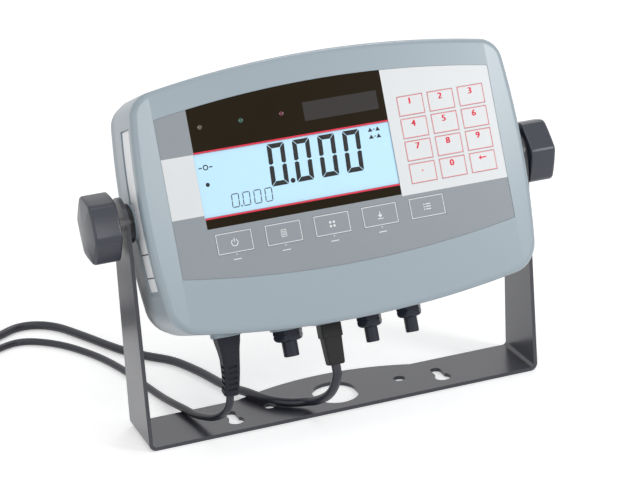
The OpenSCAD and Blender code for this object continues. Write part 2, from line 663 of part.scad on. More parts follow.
// Power cord: out of the boot, over the base and back along the table to its coil
boot_down = [cos(boot_end_turn.x) * sin(boot_end_turn.z),
  -cos(boot_end_turn.x) * cos(boot_end_turn.z), -sin(boot_end_turn.x)];
power_exit = to_world(boot_end + 0.4 * boot_down);
power_start = turn_to_world(boot_down);
coil_rest = 0.9;
power_coil_mid = [-256, 128];
power_coil_r = 39.5;
power_pitch = power_d + 0.5;
power_low = power_d / 2 + coil_rest;
power_line = coil_line(power_coil_mid, 0, power_turns, power_coil_r, power_pitch, power_low,
  power_d + 0.6);
power_points = [[-84.5, -32, 24], [-87, -26, 17.5], [-90, -17, 12.5], [-93, -6, 9],
  [-96, 6, 6.5], [-99, 20, 5.4], [-102, 34, 4.2], [-105, 52, 2.7], [-109, 74, 2.5],
  [-114, 102, 2.5], [-124, 136, 2.5], [-139, 166, 2.5], [-155, 184, 2.5], [-169, 190, 2.5],
  [-184, 185, 2.6], [-199, 175, 3], [-210, 159, 3.4]];
power_coil_in = power_line[0] + [0, power_d, 0];
power_route = concat([power_exit], curve(concat([power_exit + power_d * power_start],
  power_points, [power_coil_in + [0, power_d, 0]]), 2), [power_coil_in]);
power_coil_out = power_line[len(power_line) - 1];
plug_h = 22;
power_tail = [for (p = [[0, power_d, 0], [0, 14, 0.9], [0, 21, 1.9],
  [0, 27, plug_h / 2 + 0.1 - power_coil_out.z], [0, 33, plug_h / 2 + 0.1 - power_coil_out.z]])
  power_coil_out + p];
power_coil_path = concat([power_coil_in], power_line, power_tail);
plug_face = power_tail[4];

// Data cord: out of its hood, across the base and back along the table to its coil
data_exit = to_world([socket_x, hood_end, 0]);
data_start = turn_to_world([0, -1, 0]);
data_coil_mid = [-233, 224];
data_coil_r = 43;
data_start_angle = -57;
data_pitch = data_d + 0.5;
data_low = data_d / 2 + coil_rest;
data_line = coil_line(data_coil_mid, data_start_angle, data_turns, data_coil_r, data_pitch,
  data_low, data_d + 0.6);
data_points = [[-14.5, -38, 27], [-16.5, -31, 18], [-20.5, -20, 10.5], [-25.5, -11, 7],
  [-33, -6, 5.9], [-42, 2, 5.8], [-49, 13, 5.8], [-54.5, 25, 5.7], [-58.5, 37, 4.1],
  [-63, 52, 3.1], [-70, 78, 3], [-80, 103, 3], [-94, 121, 3], [-105, 137, 3], [-113, 153, 3], [-124, 178, 3],
  [-136, 202, 3], [-149, 214, 3], [-163, 216, 3], [-177, 208, 3.1], [-190, 200, 3.5]];
data_turn_in = [sin(data_start_angle), -cos(data_start_angle), 0];
data_coil_in = data_line[0] - data_d * data_turn_in;
data_route = concat([data_exit], curve(concat([data_exit + data_d * data_start],
  data_points, [data_coil_in - data_d * data_turn_in]), 2), [data_coil_in]);
data_coil_out = data_line[len(data_line) - 1];
hood_h = 15;
data_drop = hood_h / 2 + 0.1 - data_coil_out.z;
data_turn_out = -data_turn_in;
data_tail = [for (p = [[data_d, 0], [14, 0.3], [20, 0.8], [25, 1], [31, 1]])
  data_coil_out + p[0] * data_turn_out + [0, 0, p[1] * data_drop]];
data_coil_path = concat([data_coil_in], data_line, data_tail);

echo(power_lead_mm = run(power_route), power_coil_mm = run(power_coil_path),
  power_coil_gap_mm = least_gap(power_line, power_d));
echo(data_lead_mm = run(data_route), data_coil_mm = run(data_coil_path),
  data_coil_gap_mm = least_gap(data_line, data_d));

module power_cord_lead() color(cord_black) tube(power_route, power_d / 2, 8);
module power_cord_coil() color(cord_black) tube(power_coil_path, power_d / 2, 6);
module data_cord_lead() color(cord_black) tube(data_route, data_d / 2, 8);
module data_cord_coil() color(cord_black) tube(data_coil_path, data_d / 2, 6);

// A flat strap round all turns of a coil, at one angle
module coil_tie(middle, angle, outer, inner, d, top) translate([middle.x, middle.y, 0])
  rotate(angle) translate([inner, -4, 0.1]) {
    w = outer - inner;
    difference() {
      translate([-0.8, 0, 0]) cube([w + 1.6, 8, top + 0.8]);
      translate([0, -1, 0.75]) cube([w, 10, top - 0.65]);
    }
    translate([w * 0.3, 1, top + 0.8]) cube([w * 0.35, 6, 1.2]);
  }
module power_cord_tie() color("black") coil_tie(power_coil_mid, 100,
  power_coil_r + power_d / 2 + 0.6, power_coil_r - power_turns / 2 * power_pitch
  - power_d / 2 - 0.8, power_d, power_low + 1.6 * power_d + 0.7);
module data_cord_tie() color("black") coil_tie(data_coil_mid, 200,
  data_coil_r + data_d / 2 + 0.6, data_coil_r - data_turns / 2 * data_pitch
  - data_d / 2 - 0.8, data_d, data_low + 1.6 * data_d + 0.7);

// Three-pin mains plug
module power_plug_body() color("black") translate(plug_face + [0, 0, -plug_h / 2]) {
  hull() {
    translate([-4, 0, 6]) cube([8, 0.5, plug_h - 12]);
    translate([-9, 9, 2]) cube([18, 0.5, plug_h - 4]);
  }
  hull() {
    translate([-9, 9, 2]) cube([18, 0.5, plug_h - 4]);
    translate([-13, 17, 0]) cube([26, 0.5, plug_h]);
  }
  translate([-13, 17.4, 0]) cube([26, 15, plug_h]);
}
module power_plug_pins() color("gold") translate(plug_face + [0, 32.4, 0]) {
  for (s = [-1, 1]) translate([s * 6.35 - 0.75, 0, -6.4]) cube([1.5, 17, 6.4]);
  rotate([-90, 0, 0]) translate([0, -5.6, 0]) cylinder(r = 2.4, h = 20);
}

// Nine-way connector with its metal shell
module at_data_end() translate(data_tail[4]) rotate([0, 0, atan2(data_turn_out.y, data_turn_out.x)])
  translate([0, 0, -hood_h / 2]) children();
module data_plug_hood() color([0.2, 0.2, 0.2]) at_data_end() {
  hull() {
    translate([0, -6, 1]) cube([0.5, 12, hood_h - 2]);
    translate([10, -15.5, 0]) cube([0.5, 31, hood_h]);
  }
  translate([10.4, -15.5, 0]) cube([20, 31, hood_h]);
}
module data_plug_shell() color("silver") at_data_end() translate([30.4, 0, hood_h / 2])
  rotate([90, 0, 90]) linear_extrude(6) difference() {
    polygon([[-8.4, 4.2], [8.4, 4.2], [7, -4.2], [-7, -4.2]]);
    polygon([[-7.8, 3.7], [7.8, 3.7], [6.6, -3.7], [-6.6, -3.7]]);
  }

mounting_bracket();
left_clamp_washer();
left_knob();
left_knob_stud();
right_clamp_washer();
right_knob();
right_knob_stud();
friction_washers();
pivot_inserts();
front_housing();
housing_gasket();
rear_cover();
cover_screws();
panel_overlay();
display_window();
lcd_glass();
backlight();
display_frame();
status_leds();
keypad_circuit();
main_board();
terminal_blocks();
board_screws();
power_board();
transformer();
gland_bodies();
gland_nuts();
gland_plugs();
gland_locknuts();
data_socket();
data_connector();
cord_boot();
key_on_zero();
key_print();
key_function();
key_tare();
key_library();
key_1();
key_2();
key_3();
key_4();
key_5();
key_6();
key_7();
key_8();
key_9();
key_dot();
key_0();
key_clear();
power_cord_lead();
power_cord_coil();
power_cord_tie();
power_plug_body();
power_plug_pins();
data_cord_lead();
data_cord_coil();
data_cord_tie();
data_plug_hood();
data_plug_shell();
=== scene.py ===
"""Looks of a weighing indicator on its tilting stand. Lengths are in mm until a piece is placed."""

import math
from contextlib import contextmanager

import bmesh
import bpy
from mathutils import Matrix, Vector


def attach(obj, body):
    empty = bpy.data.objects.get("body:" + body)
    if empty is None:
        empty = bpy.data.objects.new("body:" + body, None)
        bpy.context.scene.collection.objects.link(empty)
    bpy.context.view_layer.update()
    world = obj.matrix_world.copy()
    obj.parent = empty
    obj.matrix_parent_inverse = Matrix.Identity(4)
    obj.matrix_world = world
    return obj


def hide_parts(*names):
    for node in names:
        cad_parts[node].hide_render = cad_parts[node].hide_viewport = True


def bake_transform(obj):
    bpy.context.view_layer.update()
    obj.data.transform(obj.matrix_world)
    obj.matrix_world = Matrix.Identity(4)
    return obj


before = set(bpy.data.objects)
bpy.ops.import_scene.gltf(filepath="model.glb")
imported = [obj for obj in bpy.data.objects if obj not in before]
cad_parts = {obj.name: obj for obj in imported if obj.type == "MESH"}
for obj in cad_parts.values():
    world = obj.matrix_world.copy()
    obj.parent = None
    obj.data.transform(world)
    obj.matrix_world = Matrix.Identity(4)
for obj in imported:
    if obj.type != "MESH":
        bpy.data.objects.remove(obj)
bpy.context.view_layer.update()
scene = bpy.context.scene

# Main sizes: the height of the tilt axis, and depths of the housing in front of it
PIVOT = 145.5
TILT = math.radians(21)
FACE_W = 34.5
SPLIT_W = -13.5
REAR_W = -38.5

# Places and directions
MM = 0.001
TO_METRES = Matrix.Scale(MM, 4)
WORLD = Matrix.Identity(4)


def axes(x, y, z, at=(0, 0, 0)):
    """Matrix that turns a piece's own x, y and z into three directions, and moves it to a place."""
    return Matrix((*zip(x, y, z, at), (0, 0, 0, 1)))


# The housing's own x is across, y up its front face and z out of it, from the tilt axis
HOUSE = axes(
    (1, 0, 0), (0, math.sin(TILT), math.cos(TILT)), (0, -math.cos(TILT), math.sin(TILT)), (0, 0, PIVOT)
)
ALONG_X = axes((0, 1, 0), (0, 0, 1), (1, 0, 0))
ALONG_Y = axes((1, 0, 0), (0, 0, 1), (0, 1, 0))


def out_of_side(side, height=PIVOT):
    """z points out of the left (-1) or right (1) side, along the tilt axis."""
    return axes((0, 0, -side), (0, 1, 0), (side, 0, 0), (0, 0, height))


def down_at(x, y):
    """z points down the face, in the housing's own directions."""
    return axes((1, 0, 0), (0, 0, 1), (0, -1, 0), (x, y, 0))


def shift(x, y, z):
    return Matrix.Translation((x, y, z))


def turn(degrees, axis):
    return Matrix.Rotation(math.radians(degrees), 4, axis)


def metres(p):
    return [c * MM for c in p]


def added(name, data):
    """A new object in the scene."""
    obj = bpy.data.objects.new(name, data)
    scene.collection.objects.link(obj)
    return obj


# Camera
LENS, SENSOR = 127.6, 36.0
CAMERA_AT = Vector((-0.45927, -1.28090, 0.61449))
CAMERA_LOOK = Vector((0.3135104, 0.8838264, -0.3472207))
CAMERA_UP = Vector((0.175577, 0.3053971, 0.9358982))
camera_data = bpy.data.cameras.new("camera")
camera_data.lens = LENS
camera_data.sensor_width = SENSOR
camera = added("camera", camera_data)
camera.matrix_world = axes(CAMERA_LOOK.cross(CAMERA_UP), CAMERA_UP, -CAMERA_LOOK, CAMERA_AT)
scene.camera = camera


# Materials
def linear(rgb):
    """Linear colour of an sRGB one given in 0 to 255."""
    out = []
    for c in rgb:
        c = c / 255
        out.append(c / 12.92 if c <= 0.04045 else ((c + 0.055) / 1.055) ** 2.4)
    return (*out, 1.0)


def nodes_of(name):
    material = bpy.data.materials.new(name)
    material.use_nodes = True
    tree = material.node_tree
    return material, tree, tree.nodes["Principled BSDF"]


def fill(node, values):
    """Sets inputs of a shader node by their names."""
    for name, value in values.items():
        node.inputs[name].default_value = value


def math_node(tree, operation, first, second):
    """A Math node; each of its two inputs is a number or an output of another node."""
    node = tree.nodes.new("ShaderNodeMath")
    node.operation = operation
    for socket, value in zip(node.inputs, (first, second)):
        if isinstance(value, float):
            socket.default_value = value
        else:
            tree.links.new(value, socket)
    return node.outputs["Value"]


def seen_rays(tree):
    """1 for camera and glossy rays, 0 for the rays that light the object."""
    rays = tree.nodes.new("ShaderNodeLightPath")
    return math_node(tree, "MAXIMUM", rays.outputs["Is Camera Ray"], rays.outputs["Is Glossy Ray"])


DRIFT_DETAIL, GRAIN_DETAIL = 4, 2
DRIFT_BAND = (0.3, 0.7)
GRAIN_DEPTH = 0.0002
COAT_ROUGH = 0.2


def surface(
    name, rgb, rough, metal=0.0, grain=0.0, grain_size=0.5, vary=0.05, vary_size=30.0, rough_vary=0.06,
    coat=0.0, spec=0.5, glow=0.0,
):
    """A moulded, painted or metal surface: soft colour drift, uneven gloss and a fine grain."""
    material, tree, shader = nodes_of(name)
    new, wire = tree.nodes.new, tree.links.new
    spot = new("ShaderNodeTexCoord").outputs["Object"]

    def noise(feature, detail):
        node = new("ShaderNodeTexNoise")
        fill(node, {"Scale": 1 / (feature * MM), "Detail": detail})
        wire(spot, node.inputs["Vector"])
        return node.outputs["Fac"]

    base = linear(rgb)
    drift = noise(vary_size, DRIFT_DETAIL)
    ramp = new("ShaderNodeValToRGB")
    for element, position, part in zip(ramp.color_ramp.elements, DRIFT_BAND, (1 - vary, 1 + vary)):
        element.color = (*[min(1.0, c * part) for c in base[:3]], 1)
        element.position = position
    wire(drift, ramp.inputs["Fac"])
    wire(ramp.outputs["Color"], shader.inputs["Base Color"])
    gloss = new("ShaderNodeMapRange")
    fill(gloss, {"To Min": rough - rough_vary, "To Max": rough + rough_vary})
    wire(drift, gloss.inputs["Value"])
    wire(gloss.outputs["Result"], shader.inputs["Roughness"])
    if grain:
        bump = new("ShaderNodeBump")
        fill(bump, {"Strength": grain, "Distance": GRAIN_DEPTH})
        wire(noise(grain_size, GRAIN_DETAIL), bump.inputs["Height"])
        wire(bump.outputs["Normal"], shader.inputs["Normal"])
    fill(shader, {"Metallic": metal, "Specular IOR Level": spec})
    fill(shader, {"Coat Weight": coat, "Coat Roughness": COAT_ROUGH})
    if glow:
        fill(shader, {"Emission Color": base, "Emission Strength": glow})
    return material


def clear_foil():
    """Clear window: mostly let through, with a faint sheen on its outside."""
    material, tree, shader = nodes_of("window_clear")
    tree.nodes.remove(shader)
    new, wire = tree.nodes.new, tree.links.new
    through = new("ShaderNodeBsdfTransparent")
    fill(through, {"Color": (0.985, 0.992, 1.0, 1)})
    sheen = new("ShaderNodeBsdfGlossy")
    fill(sheen, {"Roughness": 0.18})
    edge = new("ShaderNodeFresnel")
    fill(edge, {"IOR": 1.35})
    outside = math_node(tree, "SUBTRACT", 1.0, new("ShaderNodeNewGeometry").outputs["Backfacing"])
    mix = new("ShaderNodeMixShader")
    wire(math_node(tree, "MULTIPLY", edge.outputs["Fac"], outside), mix.inputs["Fac"])
    wire(through.outputs["BSDF"], mix.inputs[1])
    wire(sheen.outputs["BSDF"], mix.inputs[2])
    wire(mix.outputs["Shader"], tree.nodes["Material Output"].inputs["Surface"])
    return material


FINISH = {
    "housing": surface(
        "housing_plastic", (154, 168, 177), 0.28, grain=0.05, grain_size=1.2, vary=0.006, vary_size=60,
        rough_vary=0.012, spec=0.6,
    ),
    "rear": surface("rear_plastic", (152, 164, 172), 0.42, grain=0.1, vary=0.02),
    "foil": surface("foil_grey", (140, 147, 153), 0.4, grain=0.04, grain_size=0.2, vary=0.015),
    "light": surface("foil_light", (222, 225, 227), 0.38, grain=0.06, grain_size=0.2, vary=0.01),
    "black": surface("foil_black", (30, 21, 4), 0.34, grain=0.05, grain_size=0.2, spec=0.08),
    "smoke": surface("foil_smoked", (58, 55, 54), 0.25, vary=0.04, spec=0.15),
    "red": surface("print_red", (226, 18, 62), 0.45, vary=0.02),
    "pink": surface("print_fine_red", (236, 84, 96), 0.45, vary=0.02),
    "white": surface("print_white", (232, 236, 238), 0.45, vary=0.01),
    "lcd": surface("display_ground", (178, 214, 232), 0.5, vary=0.01, glow=0.3),
    "segment": surface("display_segment", (14, 12, 14), 0.45, vary=0.03, spec=0.2),
    "knob": surface("knob_plastic", (44, 48, 60), 0.3, grain=0.12, grain_size=0.6, spec=0.6),
    "gland": surface("gland_plastic", (32, 35, 48), 0.36, grain=0.2, grain_size=0.35, spec=0.3),
    "boot": surface("boot_rubber", (20, 23, 34), 0.5, grain=0.25, grain_size=0.3, vary=0.06, spec=0.3),
    "hood": surface("hood_plastic", (24, 24, 24), 0.5, grain=0.4, spec=0.3),
    "paint": surface(
        "bracket_paint", (52, 53, 62), 0.3, grain=0.05, grain_size=0.8, vary=0.04, rough_vary=0.03, coat=0.3
    ),
    "cord": surface("cord_jacket", (40, 41, 52), 0.33, grain=0.1),
    "ring": surface("ring_rubber", (30, 30, 34), 0.22),
    "seal": surface("seal_rubber", (60, 63, 68), 0.6, grain=0.2),
    "zinc": surface("zinc_steel", (205, 205, 208), 0.26, metal=1.0, grain=0.1, vary_size=4),
    "tin": surface("tinned_shell", (196, 196, 192), 0.22, metal=1.0, vary=0.04, vary_size=5),
    "brass": surface("brass_turned", (201, 170, 98), 0.24, metal=1.0, vary=0.06, vary_size=5),
    "plug": surface("plug_plastic", (38, 38, 42), 0.42, grain=0.3, grain_size=0.4),
    "strap": surface("strap_plastic", (30, 30, 32), 0.5, grain=0.2),
    "board": surface("board_mask", (24, 84, 48), 0.35, vary=0.06),
    "terminal": surface("terminal_plastic", (60, 150, 74), 0.4, vary=0.04),
    "core": surface("core_varnish", (110, 84, 60), 0.4, vary=0.1, vary_size=6),
    "plate": surface("light_plate", (232, 240, 246), 0.4, vary=0.01),
    "inner": surface("inner_plastic", (28, 28, 30), 0.5),
    "sticker": surface("blank_label", (248, 250, 253), 0.32, vary=0.02, vary_size=12),
    "joint": surface("label_joint", (70, 74, 84), 0.5),
    "olive": surface("lamp_olive", (84, 74, 50), 0.25, vary_size=1.5),
    "green": surface("lamp_green", (18, 78, 62), 0.25, vary_size=1.5),
    "ruby": surface("lamp_red", (88, 18, 44), 0.25, vary_size=1.5),
    "clear": clear_foil(),
}


# Outlines
def rectangle(x0, x1, y0, y1, grow=0):
    x0, x1, y0, y1 = x0 - grow, x1 + grow, y0 - grow, y1 + grow
    return [(x0, y0), (x1, y0), (x1, y1), (x0, y1)]


def circle(r, count=48, x=0.0, y=0.0):
    angles = [math.tau * i / count for i in range(count)]
    return [(x + r * math.cos(a), y + r * math.sin(a)) for a in angles]


def arc(x, y, r, start, end, steps=10):
    """Points of an arc from one angle to another, in degrees."""
    angles = [math.radians(start + (end - start) * k / steps) for k in range(steps + 1)]
    return [(x + r * math.cos(a), y + r * math.sin(a)) for a in angles]


def rounded(w, h, r):
    """Rectangle about the origin with rounded corners."""
    points = []
    for right, up, start in ((1, 1, 0), (-1, 1, 90), (-1, -1, 180), (1, -1, 270)):
        points += arc(right * (w / 2 - r), up * (h / 2 - r), r, start, start + 90, 5)
    return points


# Solids
@contextmanager
def edited(obj):
    """The mesh of an object, open for editing."""
    shape = bmesh.new()
    shape.from_mesh(obj.data)
    yield shape
    shape.to_mesh(obj.data)
    shape.free()


def loft(rings):
    """Closed solid through rings of 3-D points, all with the same count."""
    n = len(rings[0])
    points = [tuple(p) for ring in rings for p in ring]
    faces = []
    for low in range(0, len(points) - n, n):
        for j in range(n):
            k = (j + 1) % n
            faces.append((low + j, low + k, low + n + k, low + n + j))
    faces.append(tuple(range(n - 1, -1, -1)))
    faces.append(tuple(range(len(points) - n, len(points))))
    mesh = bpy.data.meshes.new("solid")
    mesh.from_pydata(points, [], faces)
    mesh.validate()
    obj = added("solid", mesh)
    with edited(obj) as shape:
        bmesh.ops.recalc_face_normals(shape, faces=shape.faces)
    return obj


def prism(points, low, high):
    return loft([[(p[0], p[1], z) for p in points] for z in (low, high)])


def block(low, high):
    return prism(rectangle(low[0], high[0], low[1], high[1]), low[2], high[2])


def lathe(profile, count=64, flats=math.inf):
    """Solid of (radius, z) pairs turned about z, cut down to a hexagon of a size across its flats."""
    rings = []
    for r, z in profile:
        ring = []
        for i in range(count):
            a = math.tau * i / count
            q = min(r, flats / 2 / math.cos(a % (math.pi / 3) - math.pi / 6))
            ring.append((q * math.cos(a), q * math.sin(a), z))
        rings.append(ring)
    return loft(rings)


def stack(sections, where):
    """Solid through rounded rectangles, each given by its distance, width, height and corner radius."""
    return loft([[where @ Vector((*p, z)) for p in rounded(w, h, r)] for z, w, h, r in sections])


def tube(path, r, sides=16):
    rings = []
    lead = Vector((1, 0.1, 0.05))
    for i, p in enumerate(path):
        ahead = (path[min(i + 1, len(path) - 1)] - path[max(i - 1, 0)]).normalized()
        lead = (lead - lead.dot(ahead) * ahead).normalized()
        across = ahead.cross(lead)
        rings.append([p + x * lead + y * across for x, y in circle(r, sides)])
    return loft(rings)


# Work on solids
def configure(thing, **settings):
    for setting, value in settings.items():
        setattr(thing, setting, value)


def worked_out(obj):
    """Mesh of an object as its modifiers or its text make it."""
    bpy.context.view_layer.update()
    graph = bpy.context.evaluated_depsgraph_get()
    return bpy.data.meshes.new_from_object(obj.evaluated_get(graph))


def modified(obj, kind, **settings):
    """The object with a modifier applied."""
    configure(obj.modifiers.new("change", kind), **settings)
    mesh = worked_out(obj)
    obj.modifiers.clear()
    obj.data = mesh
    return obj


def combine(obj, other, how="DIFFERENCE"):
    modified(obj, "BOOLEAN", operation=how, object=other, solver="EXACT")
    bpy.data.objects.remove(other)
    return obj


def bevel(obj, width, segments=2, angle=35):
    limit = {"limit_method": "ANGLE", "angle_limit": math.radians(angle)}
    return modified(obj, "BEVEL", width=width, segments=segments, use_clamp_overlap=True, **limit)


def slice_at(shape, axis, value):
    """New edges where the plane at a value of x (axis 0) or y (axis 1) crosses a mesh."""
    normal = [0, 0, 0]
    normal[axis] = 1
    geometry = shape.verts[:] + shape.edges[:] + shape.faces[:]
    bmesh.ops.bisect_plane(shape, geom=geometry, plane_co=[value * n for n in normal], plane_no=normal)


def join(objects):
    """One object of several meshes, their materials kept."""
    target = objects[0]
    slots = []
    shape = bmesh.new()
    for obj in objects:
        first = len(shape.faces)
        shape.from_mesh(obj.data)
        shape.faces.ensure_lookup_table()
        own = list(obj.data.materials) or [None]
        for material in own:
            if material not in slots:
                slots.append(material)
        for face in shape.faces[first:]:
            face.material_index = slots.index(own[min(face.material_index, len(own) - 1)])
    mesh = bpy.data.meshes.new("joined")
    shape.to_mesh(mesh)
    shape.free()
    for material in slots:
        mesh.materials.append(material)
    target.data = mesh
    for obj in objects[1:]:
        bpy.data.objects.remove(obj)
    return target


def paint(obj, *finishes):
    obj.data.materials.clear()
    for finish in finishes:
        obj.data.materials.append(FINISH[finish])
    return obj


def place(obj, matrix):
    obj.data.transform(matrix)
    return obj


def piece(obj, name, nodes=(), where=HOUSE, body="housing", sharp=32, weighted=True):
    """Puts a finished mesh into the frame, in metres, and lets it ride with its body."""
    obj.name = name
    obj.data.name = name
    obj.data.transform(TO_METRES @ where)
    obj.data.shade_smooth()
    obj.data.set_sharp_from_angle(angle=math.radians(sharp))
    if weighted:
        configure(obj.modifiers.new("normals", "WEIGHTED_NORMAL"), keep_sharp=True, weight=60)
    if body:
        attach(obj, body)
    if nodes:
        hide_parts(*nodes)
    return obj


# Cords: listed points of the lead, a coil of spare length in two layers, and a tail to the plug,
# which is given by distances from the coil and shares of the drop to the plug
FLOOR_GAP = 0.1
TURN_GAP, COIL_LOW, LAYER_GAP = 0.5, 0.9, 0.6
POWER = {
    "name": "power_cord", "d": 5.0, "middle": (-256, 128), "start": 0, "turns": 7.5, "r": 39.5,
    "still": (-91, -13, 10), "tail": ((5, 0), (14, 0.43), (21, 0.905), (27, 1), (33, 1)),
    "points": (
        (-84.5, -32, 24), (-87, -26, 17.5), (-90, -17, 12.5), (-93, -6, 9), (-96, 6, 6.5), (-99, 20, 5.4),
        (-102, 34, 4.2), (-105, 52, 2.7), (-109, 74, 2.5), (-114, 102, 2.5), (-124, 136, 2.5),
        (-139, 166, 2.5), (-155, 184, 2.5), (-169, 190, 2.5), (-184, 185, 2.6), (-199, 175, 3),
        (-210, 159, 3.4),
    ),
}
DATA = {
    "name": "data_cord", "d": 6.0, "middle": (-233, 224), "start": -57, "turns": 5.5, "r": 43,
    "still": (-25, -10, 7), "tail": ((6, 0), (14, 0.3), (20, 0.8), (25, 1), (31, 1)),
    "points": (
        (-14.5, -38, 27), (-16.5, -31, 18), (-20.5, -20, 10.5), (-25.5, -11, 7), (-33, -6, 5.9),
        (-42, 2, 5.8), (-49, 13, 5.8), (-54.5, 25, 5.7), (-58.5, 37, 4.1), (-63, 52, 3.1), (-70, 78, 3),
        (-80, 103, 3), (-94, 121, 3), (-105, 137, 3), (-113, 153, 3), (-124, 178, 3), (-136, 202, 3),
        (-149, 214, 3), (-163, 216, 3), (-177, 208, 3.1), (-190, 200, 3.5),
    ),
}
PLUG_H, HOOD_H = 22, 15
BOOT_X, SOCKET_X = -81, -13.75
BOOT_END, BOOT_BEND, BOOT_TIP = Vector((-83, -115.5, -8)), (26, -4), 0.4
HOOD_END = -111


def spline(points, step):
    """Smooth line through given points, with a point about every step."""
    pts = [Vector(p) for p in points]
    out = []
    for i in range(len(pts) - 1):
        a, b = pts[max(i - 1, 0)], pts[i]
        c, d = pts[i + 1], pts[min(i + 2, len(pts) - 1)]
        n = max(2, round((c - b).length / step))
        for k in range(n):
            t = k / n
            curve = (2 * a - 5 * b + 4 * c - d) * t**2 + (3 * b - a - 3 * c + d) * t**3
            out.append(0.5 * (2 * b + (c - a) * t + curve))
    out.append(pts[-1])
    return out


def coil(cord, steps=48):
    """Turns inwards on the floor, then outwards in a second layer."""
    out = []
    x, y = cord["middle"]
    turns = cord["turns"]
    for k in range(int(turns * steps) + 1):
        s = k / steps
        a = math.radians(cord["start"] - 360 * s)
        r = cord["r"] - (cord["d"] + TURN_GAP) * min(s, turns - s)
        climbed = min(1, max(0, 2 * (s - turns / 2) + 0.5))
        climbed = climbed * climbed * (3 - 2 * climbed)
        z = cord["d"] / 2 + COIL_LOW + (cord["d"] + LAYER_GAP) * climbed
        out.append(Vector((x + r * math.cos(a), y + r * math.sin(a), z)))
    return out


def out_of_coil(cord):
    """Direction in which both ends of a coil point."""
    start = math.radians(cord["start"])
    return Vector((-math.sin(start), math.cos(start), 0))


def cord_path(cord, start, way, end_z):
    """Centre line of a cord that leaves the housing in a direction and ends at a height."""
    d = cord["d"]
    wound = coil(cord)
    back = out_of_coil(cord)
    lead = [start + d * way, *cord["points"], wound[0] + 2 * d * back, wound[0] + d * back]
    drop = Vector((0, 0, end_z - wound[-1].z))
    tail = [wound[-1] + along * back + share * drop for along, share in cord["tail"]]
    return [start, start + d / 2 * way, *spline(lead, d / 2), *wound, *spline(tail, d / 2)]


def make_cord(cord, path):
    name = cord["name"]
    obj = paint(tube(path, cord["d"] / 2 - 0.02), "cord")
    piece(obj, name, (name + "_lead", name + "_coil"), WORLD, None, 60, False)
    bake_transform(obj)
    return obj


def bent(bend_x, bend_z):
    """Turn of a cross-section by two bends in degrees, about x and then z."""
    return turn(bend_z, "Z") @ turn(bend_x, "X")


boot_way = bent(*BOOT_BEND) @ Vector((0, -1, 0))
power_exit = HOUSE @ (BOOT_END + BOOT_TIP * boot_way)
power_way = HOUSE.to_3x3() @ boot_way
power_path = cord_path(POWER, power_exit, power_way, PLUG_H / 2 + FLOOR_GAP)
power_cord = make_cord(POWER, power_path)

data_exit = HOUSE @ Vector((SOCKET_X, HOOD_END, 0))
data_way = HOUSE.to_3x3() @ Vector((0, -1, 0))
data_path = cord_path(DATA, data_exit, data_way, HOOD_H / 2 + FLOOR_GAP)
data_cord = make_cord(DATA, data_path)

# Outline of the housing: two long arcs and two side arcs, joined by four corner arcs
LONG_R, SIDE_R, TOP_R, BOTTOM_R = 650, 500, 16, 21.5
TOP_Y, BOTTOM_Y = 85.2, -83.8
HALF_W, SIDE_MID = 127.3, 4
INSIDE_BY = 0.14


def meeting(a, ra, b, rb, hand):
    """Where two circles meet, on the left (1) or right (-1) of the way from a to b."""
    d = (b - a).length
    along = (b - a) / d
    x = (d * d + ra * ra - rb * rb) / (2 * d)
    return a + x * along + hand * math.sqrt(ra * ra - x * x) * Vector((-along.y, along.x))


def heading(start, end):
    return math.atan2(end.y - start.y, end.x - start.x)


TOP_C, BOTTOM_C = Vector((0, TOP_Y - LONG_R)), Vector((0, BOTTOM_Y + LONG_R))
SIDE_C = Vector((HALF_W - SIDE_R, SIDE_MID))
TOP_K = meeting(TOP_C, LONG_R - TOP_R, SIDE_C, SIDE_R - TOP_R, -1)
BOTTOM_K = meeting(BOTTOM_C, LONG_R - BOTTOM_R, SIDE_C, SIDE_R - BOTTOM_R, 1)
BOUNDS = (
    -math.pi / 2, heading(BOTTOM_C, BOTTOM_K), heading(SIDE_C, BOTTOM_K), heading(SIDE_C, TOP_K),
    heading(TOP_C, TOP_K), math.pi / 2,
)
ARCS = (
    (BOTTOM_C, LONG_R, 14), (BOTTOM_K, BOTTOM_R, 14), (SIDE_C, SIDE_R, 12), (TOP_K, TOP_R, 14),
    (TOP_C, LONG_R, 14),
)
RIGHT_HALF = [(BOTTOM_C, LONG_R, BOUNDS[0])]
for (middle, r, steps), a, b in zip(ARCS, BOUNDS, BOUNDS[1:]):
    RIGHT_HALF += [(middle, r, a + (b - a) * k / steps) for k in range(1, steps + 1)]


def shell(rings):
    """Solid through outlines of the housing: an inset and a depth each."""
    out = []
    for inset, w in rings:
        cut = inset + INSIDE_BY
        right = [c + (r - cut) * Vector((math.cos(a), math.sin(a))) for c, r, a in RIGHT_HALF]
        left = [(-p.x, p.y) for p in right[-2:0:-1]]
        out.append([(*p, w) for p in right + left])
    return loft(out)


def bottom_at(x):
    return BOTTOM_Y + x * x / (2 * LONG_R)


def wall_x(v, proud):
    """Place across of the left wall at height v, moved out of it by proud."""
    return -(HALF_W - SIDE_R + math.sqrt((SIDE_R + proud) ** 2 - (v - SIDE_MID) ** 2))


LABEL_R, LABEL_HALF_W = 683, 110.9
LABEL_TOP, LABEL_BOTTOM = 67.2, -49.3


def label_outline(inset=0.0, steps=40):
    """Outline of the printed panel: two long arcs between straight sides."""
    r, half_w = LABEL_R - inset, LABEL_HALF_W - inset
    across = [half_w - 2 * half_w * k / steps for k in range(steps + 1)]
    rise = [math.sqrt(r * r - x * x) for x in across]
    top = [(x, LABEL_TOP - LABEL_R + h) for x, h in zip(across, rise)]
    bottom = [(-x, LABEL_BOTTOM + LABEL_R - h) for x, h in zip(across, rise)]
    return top + bottom


